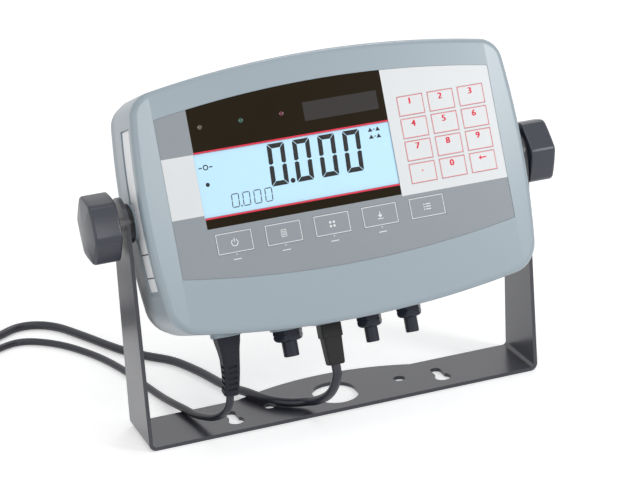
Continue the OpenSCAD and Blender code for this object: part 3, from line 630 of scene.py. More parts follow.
# Front housing
CREASE, BAND_SLOPE = 111.2, math.tan(math.radians(8))
CREASE_LOW = 29
ROUND_IN, ROUND_DROP, ROUND_STEPS = 3.6, 4.5, 10
RECESS_W, DISPLAY_W = 33.3, 30.5
OPENING = (-90, 38.3, -6, 33.3)
FIELD, FIELD_W, FIELD_DEEP, FIELD_STEPS = (-47, 56), (3, 24), 1, 26
BOSS_R, BOSS_IN, BOSS_OUT = 12, 100, 128.2
PAD_PROUD, BOOT_PAD_PROUD, PAD_DEEP = 0.8, 1.4, 5
# Place across, scale, and radius of the pad
GLANDS = ((-41.25, 1, 11), (13.75, 0.86, 9.5), (41.25, 0.86, 9.5))
PADS = [(x, pad_r, PAD_PROUD) for x, _, pad_r in GLANDS] + [(BOOT_X, 10, BOOT_PAD_PROUD)]
AXIS_R = 0.1


def front_shell():
    rounding = []
    for k in range(ROUND_STEPS + 1):
        a = math.radians(90 * k / ROUND_STEPS)
        rounding.append((ROUND_IN * (1 - math.cos(a)), FACE_W - ROUND_DROP * (1 - math.sin(a))))
    rings = [(0.4, SPLIT_W), (0.1, SPLIT_W + 0.5), (0, -1.5), (0, 14), *rounding, (ROUND_IN + 0.4, FACE_W)]
    front = shell(rings)
    with edited(front) as shape:
        for side in (-1, 1):
            slice_at(shape, 0, side * CREASE)
        for vert in shape.verts:
            if vert.co.z > FACE_W - ROUND_DROP - 0.01:
                vert.co.z -= max(0, abs(vert.co.x) - CREASE) * BAND_SLOPE
    return front


def side_field():
    """What is cut out of the left wall for the blank plates."""
    low, high = FIELD
    heights = [low + (high - low) * k / FIELD_STEPS for k in range(FIELD_STEPS + 1)]
    outside = -HALF_W - 7.7
    points = [(wall_x(v, -FIELD_DEEP), v) for v in heights] + [(outside, high), (outside, low)]
    return prism(points, *FIELD_W)


def make_front_housing():
    front = front_shell()
    combine(front, prism(label_outline(), RECESS_W, FACE_W + 5.5))
    x0, x1, y0, y1 = OPENING
    combine(front, block((x0, y0, DISPLAY_W), (x1, y1, FACE_W + 1.5)))
    combine(front, side_field())
    parts = [front]
    rim = [(BOSS_R, BOSS_OUT - 0.5), (BOSS_R - 0.3, BOSS_OUT - 0.15), (BOSS_R - 0.7, BOSS_OUT)]
    for side in (-1, 1):
        boss = lathe([(AXIS_R, BOSS_IN), (BOSS_R, BOSS_IN), *rim, (AXIS_R, BOSS_OUT)])
        parts.append(place(boss, out_of_side(side, 0)))
    for x, r, proud in PADS:
        end = PAD_DEEP + proud
        pad = lathe([(AXIS_R, 0), (r, 0), (r, end - 0.3), (r - 0.3, end), (AXIS_R, end)])
        parts.append(place(pad, down_at(x, bottom_at(x) + PAD_DEEP)))
    floor_y = bottom_at(SOCKET_X)
    low = (SOCKET_X - 10.5, floor_y - PAD_PROUD, -8)
    parts.append(bevel(block(low, (SOCKET_X + 10.5, floor_y + 4, 8)), 0.3))
    front = join([paint(part, "housing") for part in parts])
    piece(front, "housing_front", ("front_housing",), sharp=28)
    to_house = (TO_METRES @ HOUSE).inverted()
    local = [to_house @ v.co for v in front.data.vertices]
    for edge in front.data.edges:
        ends = [local[i] for i in edge.vertices]
        if all(abs(abs(p.x) - CREASE) < 0.02 and p.z > CREASE_LOW for p in ends):
            edge.use_edge_sharp = True


make_front_housing()

# Blank plates in the field of the left wall, and the dark joints between them
PLATES, PLATE_W, PLATE_T = ((-44.5, -36.2), (-35.4, -21.5), (-20.7, 55)), (5, 22), 0.3
JOINTS, JOINT_HALF, JOINT_T = (-35.8, -21.1), 0.4, 0.16


def wall_strip(v0, v1, proud, steps):
    rows = []
    w0, w1 = PLATE_W
    for k in range(steps + 1):
        v = v0 + (v1 - v0) * k / steps
        x = wall_x(v, proud - FIELD_DEEP)
        back = x + proud + 0.1
        rows.append([(x, v, w0), (x, v, w1), (back, v, w1), (back, v, w0)])
    return loft(rows)


strips = [paint(wall_strip(v0, v1, PLATE_T, 10), "sticker") for v0, v1 in PLATES]
strips += [paint(wall_strip(v - JOINT_HALF, v + JOINT_HALF, JOINT_T, 1), "joint") for v in JOINTS]
piece(join(strips), "side_plates")

# Rear cover: insets of its rounded back at heights over its rear face
REAR_RINGS = (
    (13, 0), (10.6, 0.1), (8.6, 0.5), (6.9, 1.1), (5.4, 2.0), (4.2, 3.1), (3.3, 4.5), (2.6, 6.1), (2.0, 8.2),
    (1.5, 11), (1.15, 14.5), (0.8, 19.2), (0.5, 23.7), (0.7, 24.2),
)
COVER_SCREWS = ((109, 54), (109, -53), (-109, 54), (-109, -53), (0, 71), (0, -67))
SCREW_WELL_R, SCREW_WELL = 4.6, 9
rear = shell([(inset, REAR_W + height) for inset, height in REAR_RINGS])
for x, y in COVER_SCREWS:
    combine(rear, prism(circle(SCREW_WELL_R, 40, x, y), REAR_W - 1, REAR_W + SCREW_WELL))
piece(paint(rear, "rear"), "housing_rear", ("rear_cover",), sharp=30)

# Front panel
KEY_GAP = 0.2
FOIL_TOP = 34.3
WINDOW = (-90.2, 38.4, -6.1, 33.4)
DARK_X, DARK_LOW = (-89.9, 38.2), -13
SMOKE_X, SMOKE_Y = (-15.6, 33.6), (42.3, 54)
LIGHT_LOW, LIGHT_HIGH, KEYS_LOW = -4.2, 33.45, -14.2
RED_LINE = 1.05
RED_LOW, RED_HIGH = WINDOW[2] - RED_LINE, WINDOW[3] + RED_LINE
SKINS = ["foil", "light", "black", "red", "smoke"]
LAMPS, LAMP_Y = ((-83, "olive"), (-56.5, "green"), (-30, "ruby")), 49.3
LAMP_PROFILE = [(0.05, -0.1), (1.5, -0.1), (1.45, 0.06), (1.1, 0.12), (0.05, 0.15)]


def key_boxes(first, pitch, key_size, columns, count):
    """Left, right, low and high of each key, row by row."""
    out = []
    for k in range(count):
        x, y = first[0] + pitch[0] * (k % columns), first[1] - pitch[1] * (k // columns)
        out.append((x, x + key_size[0], y, y + key_size[1]))
    return out


FUNCTION_KEYS = key_boxes((-85.98, -29.64), (31.94, 0), (23.2, 12.84), 5, 5)
NUMBER_KEYS = key_boxes((46.25, 35.05), (20.7, 14.28), (17.3, 12.35), 3, 12)


def skin_at(x, y):
    """Printed zone of the panel at a place."""
    dark = DARK_X[0] < x < DARK_X[1]
    if dark and y > WINDOW[3]:
        if SMOKE_X[0] < x < SMOKE_X[1] and SMOKE_Y[0] < y < SMOKE_Y[1]:
            return "smoke"
        return "red" if y < RED_HIGH else "black"
    if dark and DARK_LOW < y < WINDOW[2] + 0.1:
        return "red" if y > RED_LOW else "black"
    if x > DARK_X[1] and y > KEYS_LOW or x < DARK_X[0] and LIGHT_LOW < y < LIGHT_HIGH:
        return "light"
    return "foil"


def make_panel():
    foil = prism(label_outline(0.15), RECESS_W, FOIL_TOP)
    holes = [rectangle(*WINDOW, 0.1)] + [rectangle(*box, KEY_GAP) for box in FUNCTION_KEYS + NUMBER_KEYS]
    for hole in holes:
        combine(foil, prism(hole, FOIL_TOP - 4.3, FOIL_TOP + 5.7))
    paint(foil, *SKINS)
    with edited(foil) as shape:
        for x in (*DARK_X, *SMOKE_X):
            slice_at(shape, 0, x)
        for y in (LIGHT_HIGH, RED_HIGH, RED_LOW, DARK_LOW, KEYS_LOW, LIGHT_LOW, *SMOKE_Y):
            slice_at(shape, 1, y)
        for face in shape.faces:
            middle = face.calc_center_median()
            face.material_index = SKINS.index(skin_at(middle.x, middle.y))
    parts = [foil]
    for x, colour in LAMPS:
        parts.append(paint(place(lathe(LAMP_PROFILE, 24), shift(x, LAMP_Y, FOIL_TOP)), colour))
    piece(join(parts), "front_panel", ("panel_overlay",), weighted=False)


make_panel()

# Keys
KEY_TOP, KEY_T = 34.45, 0.7
INK_T = 0.03
NUMERAL_H, NUMERAL_UP, NUMERAL_BOLD = 4.0, 0.9, 0.15
CAPITAL = 0.72


def printed(points, finish="white"):
    """A thin printed shape just over a key."""
    return paint(prism(points, KEY_TOP, KEY_TOP + INK_T), finish)


def bar(x, y, w, h, finish="white"):
    return printed(rectangle(x - w / 2, x + w / 2, y - h / 2, y + h / 2), finish)


def frame_lines(x0, x1, y0, y1, line, finish="white"):
    """The four sides of a printed rectangle."""
    low, high = (x0, x1, y0, y0 + line), (x0, x1, y1 - line, y1)
    left, right = (x0, x0 + line, y0 + line, y1 - line), (x1 - line, x1, y0 + line, y1 - line)
    return [printed(rectangle(*side), finish) for side in (low, high, left, right)]


def numeral(text, x, y, z):
    """A plain numeral, centred, as a flat shape."""
    curve = bpy.data.curves.new("numeral", "FONT")
    configure(curve, body=text, size=NUMERAL_H / CAPITAL, align_x="CENTER", extrude=INK_T / 2)
    holder = added("numeral", curve)
    mesh = worked_out(holder)
    bpy.data.objects.remove(holder)
    obj = added("numeral", mesh)
    return paint(place(obj, shift(x, y, z + INK_T / 2)), "red")


# Marks, drawn about the middle of a key
def marks_power():
    gap = math.degrees(0.55)
    ring = arc(0, -0.2, 2.3, 90 + gap, 450 - gap, 28) + arc(0, -0.2, 1.8, 450 - gap, 90 + gap, 28)
    return [printed(ring), bar(0, 1.4, 0.5, 2.4)]


def marks_print():
    return frame_lines(-1.7, 1.7, -2.3, 2.3, 0.35) + [bar(0, y, 2.0, 0.35) for y in (-0.9, 0, 0.9)]


def marks_function():
    return [bar(x, y, 1.3, 1.3) for x in (-1.2, 1.2) for y in (-1.2, 1.2)]


def marks_tare():
    arrow = printed([(-1.5, 0.3), (0, -1.6), (1.5, 0.3)])
    return [arrow, bar(0, 1.2, 0.6, 1.9), bar(0, -2.2, 3.8, 0.45)]


def marks_library():
    levels = (-1.6, 0, 1.6)
    return [bar(0.7, y, 3.4, 0.5) for y in levels] + [bar(-2.0, y, 0.7, 0.7) for y in levels]


def marks_number(text):
    """Copies of a numeral, side by side, make it bold."""
    shifts = [NUMERAL_BOLD * k for k in range(-2, 3)]
    return [numeral(text, x - 0.4, NUMERAL_UP, KEY_TOP + abs(x) / 30) for x in shifts]


def marks_dot():
    return [bar(0, 1.2, 0.9, 0.9, "red")]


def marks_clear():
    return [printed([(-2.7, 2.6), (-1.0, 1.1), (-1.0, 4.1)], "red"), bar(0.8, 2.6, 3.6, 0.8, "red")]


def make_key(name, box, ground, line, line_finish, marks):
    x0, x1, y0, y1 = box
    parts = [paint(bevel(block((x0, y0, KEY_TOP - KEY_T), (x1, y1, KEY_TOP)), 0.06, 1), ground)]
    parts += frame_lines(x0 + 0.1, x1 - 0.1, y0 + 0.1, y1 - 0.1, line, line_finish)
    parts += [place(mark, shift((x0 + x1) / 2, (y0 + y1) / 2, 0)) for mark in marks]
    piece(join(parts), name + "_plate", (name,), body=name + "_body", weighted=False)


FUNCTION_MARKS = {
    "key_on_zero": marks_power, "key_print": marks_print, "key_function": marks_function,
    "key_tare": marks_tare, "key_library": marks_library,
}
for (name, marks), box in zip(FUNCTION_MARKS.items(), FUNCTION_KEYS):
    make_key(name, box, "foil", 0.42, "white", marks())
NUMBER_MARKS = {"key_dot": marks_dot, "key_clear": marks_clear}
NUMBER_NAMES = ["key_%d" % k for k in range(1, 10)] + ["key_dot", "key_0", "key_clear"]
for name, box in zip(NUMBER_NAMES, NUMBER_KEYS):
    marks = NUMBER_MARKS[name]() if name in NUMBER_MARKS else marks_number(name[-1])
    make_key(name, box, "light", 0.34, "pink", marks)

# Small printed marks on the panel under the first four wide keys
HINT_LOW, HINT_HIGH = FOIL_TOP - 0.01, FOIL_TOP + INK_T
hints = []
for x0, x1, y, _ in FUNCTION_KEYS[:4]:
    x = (x0 + x1) / 2
    for points in (
        [(x - 0.5, y - 0.7), (x, y - 1.6), (x + 0.5, y - 0.7)],
        rectangle(x - 2.6, x + 2.6, y - 4.3, y - 3.8),
    ):
        hints.append(paint(prism(points, HINT_LOW, HINT_HIGH), "white"))
piece(join(hints), "panel_hints", weighted=False)

# Display window
window = bevel(block((WINDOW[0], WINDOW[2], FOIL_TOP - 0.5), (WINDOW[1], WINDOW[3], FOIL_TOP)), 0.05, 1)
piece(paint(window, "clear"), "window", ("display_window",), weighted=False)

# Display: its glass, the lit ground and what it shows
GLASS = ((-87.8, -3.7, 31.3), (36.0, 31.0, 33.0))
GROUND = ((-89.9, -5.9, 33.0), (38.2, 33.2, 33.1))
INK_Z = 33.12
LEAN = 0.05
ZERO_MARK, STEADY_MARK = (-83.6, 24.6), (-84.2, 14.0)
UNIT_X, UNIT_Y = (24.0, 29.0), (24.6, 29.0)


def ink(points):
    return paint(prism(points, INK_Z, INK_Z + 0.05), "segment")


def segment_nought(x, y, w, h, t, gap):
    """The outer six of seven leaning segments, t wide and with cut ends."""
    parts = []
    for outer, inner in ((y + h, y + h - t), (y, y + t)):
        near, far = gap, t + 0.4 * gap
        parts.append([(x + near, outer), (x + w - near, outer), (x + w - far, inner), (x + far, inner)])
    half = y + h / 2
    for outer, inner, up in ((y + gap, half - gap / 2, t), (y + h - gap, half + gap / 2, -t)):
        for side, across in ((x, t), (x + w, -t)):
            part = [(0, outer + 0.35 * up), (0, inner - 0.2 * up), (0.5, inner), (1, inner - 0.3 * up)]
            part += [(1, outer + 0.95 * up), (0.1, outer)]
            parts.append([(side + share * across, v) for share, v in part])
    return [ink([(px + LEAN * (py - y), py) for px, py in part]) for part in parts]


def number_row(x, y, pitch, w, h, t, gap):
    return [part for k in range(4) for part in segment_nought(x + pitch * k, y, w, h, t, gap)]


def make_display():
    parts = [paint(block(*GLASS), "lcd"), paint(block(*GROUND), "lcd")]
    parts += number_row(-44.1, 6.0, 16.6, 11.3, 26.1, 2.9, 0.45)
    parts.append(ink(circle(1.55, 20, -30.0, 7.6)))
    parts += number_row(-71.3, -2.6, 7.2, 4.9, 8.6, 0.55, 0.4)
    parts.append(ink(circle(0.5, 12, -65.2, -2.2)))
    x, y = ZERO_MARK
    for right in (-3.4, 3.4):
        parts.append(ink(rectangle(x + right - 1.0, x + right + 1.0, y - 0.4, y + 0.3)))
    out, within = circle(1.75, 16, x, y), circle(1.1, 16, x, y)
    parts += [ink([within[k - 1], out[k - 1], out[k], within[k]]) for k in range(16)]
    parts.append(ink(circle(1.3, 16, *STEADY_MARK)))
    for y in UNIT_Y:
        parts += [ink([(x, y), (x + 3.2, y), (x + 1.6, y + 2.6)]) for x in UNIT_X]
        parts.append(ink(rectangle(UNIT_X[0] + 3.4, UNIT_X[1] - 0.2, y + 1.0, y + 1.5)))
    piece(join(parts), "display", ("lcd_glass",), weighted=False)


make_display()

# Clamp knobs
KNOB_R, CORNER_R, CROWN = 21.8, 6.0, 0.35
RIM_Z, RIM_IN, RIM_RISE = 15.2, 1.9, 2.2
DOME_RISE, DOME_STEPS, DOME_SHRINK = 1.7, 11, 0.09
HUB, LEFT_LOOSE = 135.8, 3.2
WASHER_WELL_R, STUD_HOLE_R = 13.9, 4


def grip(inset, part):
    """Outline of the six-sided grip, its corners rounded and its sides slightly crowned."""
    corners = []
    for k, (x, y) in enumerate(circle(part * (KNOB_R - CORNER_R), 6)):
        corners.append(arc(x, y, part * (CORNER_R - inset), 60 * k - 30, 60 * k + 30, 12))
    points = []
    for corner, following in zip(corners, corners[1:] + corners[:1]):
        start, end = Vector(corner[-1]), Vector(following[0])
        out = CROWN * part * (start + end).normalized()
        points += corner
        points += [start.lerp(end, s / 6) + (1 - (s / 3 - 1) ** 2) * out for s in range(1, 6)]
    return points


def make_knob(name, side, degrees, loose):
    levels = [(0.9, 1, 0), (0.45, 1, 0.15), (0.15, 1, 0.5), (0, 1, 1.2), (0, 1, 8), (0, 1, RIM_Z)]
    for k in range(1, 9):
        a = math.radians(90 * k / 8)
        levels.append((RIM_IN * (1 - math.cos(a)), 1, RIM_Z + RIM_RISE * math.sin(a)))
    for k in range(1, DOME_STEPS):
        rise = DOME_RISE * (1 - (1 - k / DOME_STEPS) ** 2)
        levels.append((RIM_IN, 1 - DOME_SHRINK * k, RIM_Z + RIM_RISE + rise))
    obj = loft([[(*p, z) for p in grip(inset, part)] for inset, part, z in levels])
    place(obj, turn(degrees, "Z"))
    combine(obj, prism(circle(WASHER_WELL_R, 64), -1, 0.7))
    combine(obj, prism(circle(STUD_HOLE_R, 40), -1, 12))
    where = out_of_side(side) @ shift(0, 0, HUB + loose)
    piece(paint(obj, "knob"), name + "_grip", (name,), where, name + "_body", sharp=40)


make_knob("left_knob", -1, 28, LEFT_LOOSE)
make_knob("right_knob", 1, 13, 0)

# Dark rings between the housing and the legs
RING_PROFILE = [
    (4.3, 128.25), (11.9, 128.25), (12.4, 128.6), (12.5, 129.1), (12.5, 131.6), (12.4, 132.05),
    (11.9, 132.35), (4.3, 132.35),
]
rings = [place(lathe(RING_PROFILE, 72), out_of_side(side)) for side in (-1, 1)]
piece(paint(join(rings), "ring"), "side_rings", ("friction_washers",), WORLD)

# Stand
LEG_X, HALF_D, STEEL, BEND = 135.0, 22.0, 2.5, 5.0
LEG_TOP = PIVOT + 20
LEG_R, LEG_FOOT = 17.0, 8.0
TAB, TAB_HALF = 12.5, 61.0
CABLE_HOLE_R, CABLE_HOLE_Y, CABLE_HOLE_STRETCH = 14.7, 3, 2.4
SCREW_X, SCREW_Y, SCREW_R = 45.8, 3.5, 4
KEYHOLE_X, KEYHOLE_Y, KEYHOLE_R = 72.5, -7.5, 5.6
SLOT_END_Y, SLOT_R = 4.5, 3.4
LEG_HOLE_R = 4.08
PAST = 2


def strip_profile():
    """Section of the bent strip, across and up."""
    left, right, inner = BEND - LEG_X, LEG_X - BEND, LEG_X - STEEL
    points = [(-LEG_X, LEG_TOP)]
    points += arc(left, BEND, BEND, 180, 270) + arc(right, BEND, BEND, 270, 360)
    points += [(LEG_X, LEG_TOP), (inner, LEG_TOP)]
    points += arc(right, BEND, BEND - STEEL, 360, 270) + arc(left, BEND, BEND - STEEL, 270, 180)
    return points + [(-inner, LEG_TOP)]


def leg_profile():
    """The legs from the side: straight edges that touch the round top, and the tab below."""
    drop = PIVOT - LEG_FOOT
    touch = math.degrees(math.atan2(-drop, HALF_D) + math.acos(LEG_R / math.hypot(HALF_D, drop)))
    back = HALF_D + TAB + 0.1
    points = [(back, -1), (back, STEEL + 0.1), (HALF_D, STEEL + 0.1), (HALF_D, LEG_FOOT)]
    points += arc(0, PIVOT, LEG_R, touch, 180 - touch, 36)
    return points + [(-HALF_D, LEG_FOOT), (-HALF_D, -1)]


def base_plan():
    """The stand from above: a strip with a tab that has an arced edge."""
    r = (TAB_HALF**2 + TAB**2) / (2 * TAB)
    half = math.degrees(math.asin(TAB_HALF / r))
    out = LEG_X + PAST
    points = [(out, -HALF_D), (out, HALF_D)] + arc(0, HALF_D + TAB - r, r, 90 - half, 90 + half, 32)
    return points + [(-out, HALF_D), (-out, -HALF_D)]


def base_holes():
    """Outlines of the cable hole, the screw holes and the keyholes."""
    high, low = CABLE_HOLE_Y + CABLE_HOLE_STRETCH, CABLE_HOLE_Y - CABLE_HOLE_STRETCH
    yield arc(0, high, CABLE_HOLE_R, 0, 180, 28) + arc(0, low, CABLE_HOLE_R, 180, 360, 28)
    neck = math.degrees(math.asin(SLOT_R / KEYHOLE_R))
    for side in (-1, 1):
        yield circle(SCREW_R, 32, side * SCREW_X, SCREW_Y)
        x = side * KEYHOLE_X
        wide = arc(x, KEYHOLE_Y, KEYHOLE_R, 90 + neck, 450 - neck, 30)
        yield wide + arc(x, SLOT_END_Y, SLOT_R, 0, 180, 16)


def make_stand():
    stand = place(prism(strip_profile(), -40, 40), ALONG_Y)
    legs = prism(leg_profile(), -LEG_X - PAST, LEG_X + PAST)
    combine(stand, place(legs, ALONG_X), "INTERSECT")
    combine(stand, prism(base_plan(), -5, LEG_TOP + 5), "INTERSECT")
    for hole in base_holes():
        combine(stand, prism(hole, -PAST, 6))
    for side in (-1, 1):
        bore = prism(circle(LEG_HOLE_R, 32), LEG_X - 5, LEG_X + 5)
        combine(stand, place(bore, out_of_side(side)))
    bevel(stand, 0.35, 2, 40)
    piece(paint(stand, "paint"), "stand", ("mounting_bracket",), WORLD, "bracket", sharp=35)


make_stand()

# Cable glands: radius and height over their pads
GLAND_FLATS = 17
GLAND_BODY = [
    (4.2, 0), (9.3, 0), (9.65, 0.25), (9.8, 0.7), (9.8, 2.3), (9.6, 2.7), (8.9, 3.0), (6.6, 3.0),
    (6.6, 5.4), (4.2, 5.4),
]
GLAND_NUT = [
    (6.65, 3.05), (9.4, 3.05), (9.7, 3.3), (9.8, 3.7), (9.8, 4.7), (9.4, 5.5), (8.8, 6.2), (8.0, 6.8),
    (7.1, 7.25), (6.2, 7.45), (4.8, 7.45), (4.8, 5.7), (6.65, 5.7),
]
GLAND_PLUG = [
    (0.1, 5.6), (4.7, 5.6), (4.7, 7.6), (5.0, 7.6), (5.0, 16.4), (4.8, 16.9), (4.3, 17.2), (0.1, 17.2),
]


def make_glands(name, node, profile, count, flats=math.inf):
    parts = []
    for x, part, _ in GLANDS:
        where = HOUSE @ down_at(x, bottom_at(x) - PAD_PROUD) @ Matrix.Diagonal((part, part, 1, 1))
        parts.append(place(lathe(profile, count, flats), where))
    piece(paint(join(parts), "gland"), name, (node,), WORLD)


make_glands("gland_flanges", "gland_bodies", GLAND_BODY, 96, GLAND_FLATS)
make_glands("gland_caps", "gland_nuts", GLAND_NUT, 96, GLAND_FLATS)
make_glands("gland_pins", "gland_plugs", GLAND_PLUG, 48)

# Moulded connector of the data cord
hood_top = bottom_at(SOCKET_X) - PAD_PROUD - 0.05
HEAD = [
    (hood_top, 13.2, 10.4, 1), (hood_top - 0.4, 13.8, 11, 1.2), (hood_top - 8.5, 13.8, 11, 1.2),
    (hood_top - 9, 13, 10.2, 1),
]
NECK = [
    (hood_top - 8.8, 12.2, 9.8, 1.2), (HOOD_END + 1.6, 10.7, 9.1, 1.2), (HOOD_END + 0.6, 10.4, 8.8, 1.3),
    (HOOD_END, 9.2, 7.6, 1.3),
]
hood = [stack(sections, ALONG_Y) for sections in (HEAD, NECK)]
hood.append(block((-5.7, hood_top - 1, -3.5), (5.7, hood_top + 13, 3.5)))
piece(
    paint(join(hood), "hood"), "data_hood", ("data_connector",),
    HOUSE @ shift(SOCKET_X, 0, 0),
)

# Ribbed boot of the power cord: middle, bends about x and z, width and height, corner radius
boot_top = bottom_at(BOOT_X) - BOOT_PAD_PROUD - 0.05
STATIONS = (
    ((BOOT_X, boot_top, 0), (0, 0), (15.2, 14), 2.0),
    ((-81.1, -84, 0), (0, 0), (14.2, 13.2), 2.2),
    ((-81.25, -89, -0.1), (1, 0), (12.4, 11.9), 2.2),
    ((-81.4, -94, -0.4), (4, -1), (11.2, 11), 2.2),
    ((-81.7, -99.5, -1.4), (9, -2), (10.6, 10.5), 2.0),
    ((-82, -105, -2.9), (14, -3), (10, 10), 2.0),
    ((-82.5, -110.5, -5.2), (20, -3.5), (9.7, 9.7), 1.9),
    (BOOT_END, BOOT_BEND, (9.4, 9.4), 1.9),
    (BOOT_END + BOOT_TIP * boot_way, BOOT_BEND, (8.4, 8.4), 1.9),
)
GROOVES, GROOVE_FIRST, GROOVE_PITCH = 5, -98.5, 3.3
GROOVE = ((-2.9, -0.8, 3.5), (2.9, 0.8, 8))
GROOVE_START, GROOVE_REACH = Vector((-81.4, -94, -0.4)), 21.5


def make_boot():
    rings = []
    for middle, bends, (w, h), r in STATIONS:
        section = [bent(*bends) @ Vector((x, 0, z)) for x, z in rounded(w, h, r)]
        rings.append([Vector(middle) + p for p in section])
    boot = loft(rings)
    for k in range(GROOVES):
        y = GROOVE_FIRST - GROOVE_PITCH * k
        s = (GROOVE_START.y - y) / GROOVE_REACH
        middle = (GROOVE_START.x - 1.6 * s, y, GROOVE_START.z - 7.6 * s * s)
        turned = shift(*middle) @ turn(4 + 22 * s, "X")
        for quarter in range(4):
            combine(boot, place(bevel(block(*GROOVE), 0.5, 2), turned @ turn(90 * quarter, "Y")))
    piece(paint(boot, "boot"), "power_boot", ("cord_boot",), sharp=30)


make_boot()

# Mains plug at the end of the power cord
PLUG_SECTIONS = [
    (0, 7.4, 9.4, 2), (0.6, 8.4, 10.4, 2.4), (6, 13.5, 15, 3), (9.5, 18, 18, 3.4), (13.5, 22.5, 20.5, 3.6),
    (17, 25.6, 21.8, 3.4), (18.5, 26, PLUG_H, 3), (31, 26, PLUG_H, 3), (32.1, 25, 21, 2.6),
    (32.4, 23.5, 19.5, 2.2),
]
PIN_X, PIN_HALF, PIN_W = 6.35, 0.75, 6.4
EARTH_PROFILE, EARTH_UP = [(2.4, 32), (2.4, 49.5), (2.0, 51.2), (1.0, 52.3), (0.05, 52.4)], 5.6
plug_at = shift(*power_path[-1])
plug = paint(stack(PLUG_SECTIONS, ALONG_Y), "plug")
piece(plug, "mains_plug", ("power_plug_body",), plug_at, "bracket")
pins = []
for x in (-PIN_X, PIN_X):
    pins.append(bevel(block((x - PIN_HALF, 32, -PIN_W), (x + PIN_HALF, 49.4, 0)), 0.3, 2))
earth = axes((1, 0, 0), (0, 0, -1), (0, 1, 0), (0, 0, EARTH_UP))
pins.append(place(lathe(EARTH_PROFILE, 32), earth))
piece(paint(join(pins), "brass"), "mains_pins", ("power_plug_pins",), plug_at, "bracket")

# Plug at the end of the data cord: a hood and the metal shell in front of it
DATA_PLUG_SECTIONS = [
    (0, 10.6, 11.6, 1.8), (0.6, 12, 13, 2), (4, 18, 14, 2.2), (8, 26, 14.8, 2.4), (10.6, 31, HOOD_H, 2.2),
    (28.6, 31, HOOD_H, 2.2), (29.9, 30.4, 14.4, 2), (30.4, 29, 13, 1.6),
]
SHELL_OUTSIDE = [(-8.4, 4.2), (8.4, 4.2), (7, -4.2), (-7, -4.2)]
SHELL_INSIDE = [(-7.8, 3.7), (7.8, 3.7), (6.6, -3.7), (-6.6, -3.7)]
way = out_of_coil(DATA)
data_plug_at = axes(way, (-way.y, way.x, 0), (0, 0, 1), data_path[-1])
data_plug = paint(stack(DATA_PLUG_SECTIONS, ALONG_X), "hood")
piece(data_plug, "data_plug", ("data_plug_hood",), data_plug_at, "bracket")
metal = prism(SHELL_OUTSIDE, 30.4, 36.4)
combine(metal, prism(SHELL_INSIDE, 31, 40))
metal = paint(bevel(place(metal, ALONG_X), 0.15, 2), "tin")
piece(metal, "data_plug_metal", ("data_plug_shell",), data_plug_at, "bracket")

# Straps round the coils
STRAP_T, STRAP_W = 0.8, 8


def make_strap(name, cord, angle, top):
    outer = cord["r"] + cord["d"] / 2 + 0.6
    inner = cord["r"] - cord["turns"] / 2 * (cord["d"] + TURN_GAP) - cord["d"] / 2 - 0.8
    w = outer - inner
    band = block((-STRAP_T, 0, 0), (w + STRAP_T, STRAP_W, top + STRAP_T))
    combine(band, block((0, -1, 0.75), (w, STRAP_W + 1, top + 0.1)))
    buckle = bevel(block((w * 0.3, 1, top + 0.75), (w * 0.65, STRAP_W - 1, top + 2)), 0.4, 2)
    where = shift(*cord["middle"], 0) @ turn(angle, "Z") @ shift(inner, -STRAP_W / 2, FLOOR_GAP)
    strap = paint(join([bevel(band, 0.25, 2), buckle]), "strap")
    piece(strap, name, (cord["name"] + "_tie",), where, "bracket")


make_strap("power_strap", POWER, 100, 12.1)
make_strap("data_strap", DATA, 200, 14.2)

# Nodes that keep their own mesh
CARRIED = {
    "zinc": "left_knob_stud right_knob_stud left_clamp_washer right_clamp_washer cover_screws board_screws",
    "board": "keypad_circuit main_board power_board", "terminal": "terminal_blocks", "core": "transformer",
    "gland": "gland_locknuts", "tin": "data_socket", "seal": "housing_gasket", "brass": "pivot_inserts",
    "plate": "backlight", "inner": "display_frame", "olive": "status_leds",
}
for finish, names in CARRIED.items():
    for name in names.split():
        paint(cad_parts[name], finish)

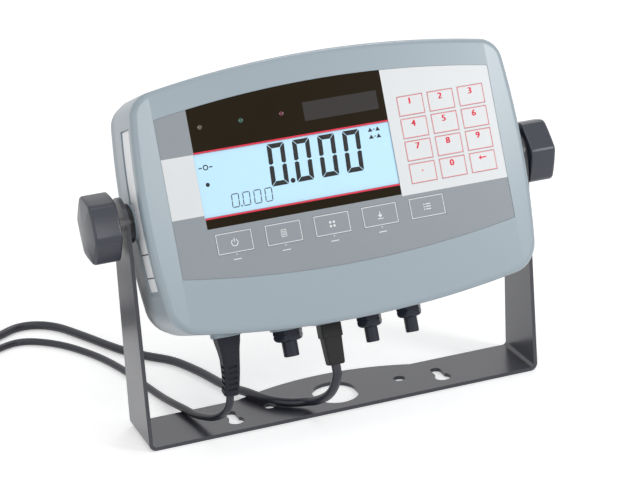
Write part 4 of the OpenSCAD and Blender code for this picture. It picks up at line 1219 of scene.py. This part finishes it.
# Floor: white, and a little brighter where it is seen than where it lights the object
FLOOR_GLOW, FLOOR_DROP = 0.4, 0.0002
floor_mesh = bpy.data.meshes.new("floor")
floor_mesh.from_pydata([(-8, -4, 0), (8, -4, 0), (8, 14, 0), (-8, 14, 0)], [], [(0, 1, 2, 3)])
floor = added("floor", floor_mesh)
floor.location.z = -FLOOR_DROP
material, tree, shader = nodes_of("floor_white")
fill(shader, {"Base Color": (0.9, 0.9, 0.9, 1), "Roughness": 0.9, "Specular IOR Level": 0.1})
new, wire = tree.nodes.new, tree.links.new
glow, both = new("ShaderNodeEmission"), new("ShaderNodeAddShader")
wire(math_node(tree, "MULTIPLY", seen_rays(tree), FLOOR_GLOW), glow.inputs["Strength"])
wire(shader.outputs["BSDF"], both.inputs[0])
wire(glow.outputs["Emission"], both.inputs[1])
wire(both.outputs["Shader"], tree.nodes["Material Output"].inputs["Surface"])
floor.data.materials.append(material)

# World: white where it is seen, dimmer as a light
WORLD_LIGHT, WORLD_SEEN = 0.45, 1.0
world = bpy.data.worlds.new("studio")
scene.world = world
world.use_nodes = True
tree = world.node_tree
new, wire = tree.nodes.new, tree.links.new
mix = new("ShaderNodeMixShader")
for k, strength in enumerate((WORLD_LIGHT, WORLD_SEEN)):
    ground = new("ShaderNodeBackground") if k else tree.nodes["Background"]
    fill(ground, {"Color": (1, 1, 1, 1), "Strength": strength})
    wire(ground.outputs["Background"], mix.inputs[k + 1])
wire(seen_rays(tree), mix.inputs["Fac"])
wire(mix.outputs["Shader"], tree.nodes["World Output"].inputs["Surface"])


# Lights
def light(name, kind, power, direction, at=(0, 0, 0), **settings):
    data = bpy.data.lights.new(name, kind)
    configure(data, energy=power, **settings)
    obj = added(name, data)
    obj.location = metres(at)
    obj.rotation_mode = "QUATERNION"
    obj.rotation_quaternion = Vector(direction).to_track_quat("-Z", "Y")


def panel(name, at, aim, width, height, power):
    direction = Vector(aim) - Vector(at)
    light(name, "AREA", power, direction, at, shape="RECTANGLE", size=width * MM, size_y=height * MM)


light("key", "SUN", 0.45, (0.1, 0.3, -1.0), angle=math.radians(40))
light("fill", "SUN", 0.7, (1.0, 0.4, -0.05), angle=math.radians(70))
panel("left_panel", (-75, -1050, 680), (-100, 0, 200), 260, 260, 1.6)
panel("right_panel", (738, -866, 640), (119, 0, 215), 220, 220, 3.6)
panel("back_panel", (450, 700, 1100), (100, 0, 180), 500, 300, 2.0)

scene.view_settings.view_transform = "Standard"
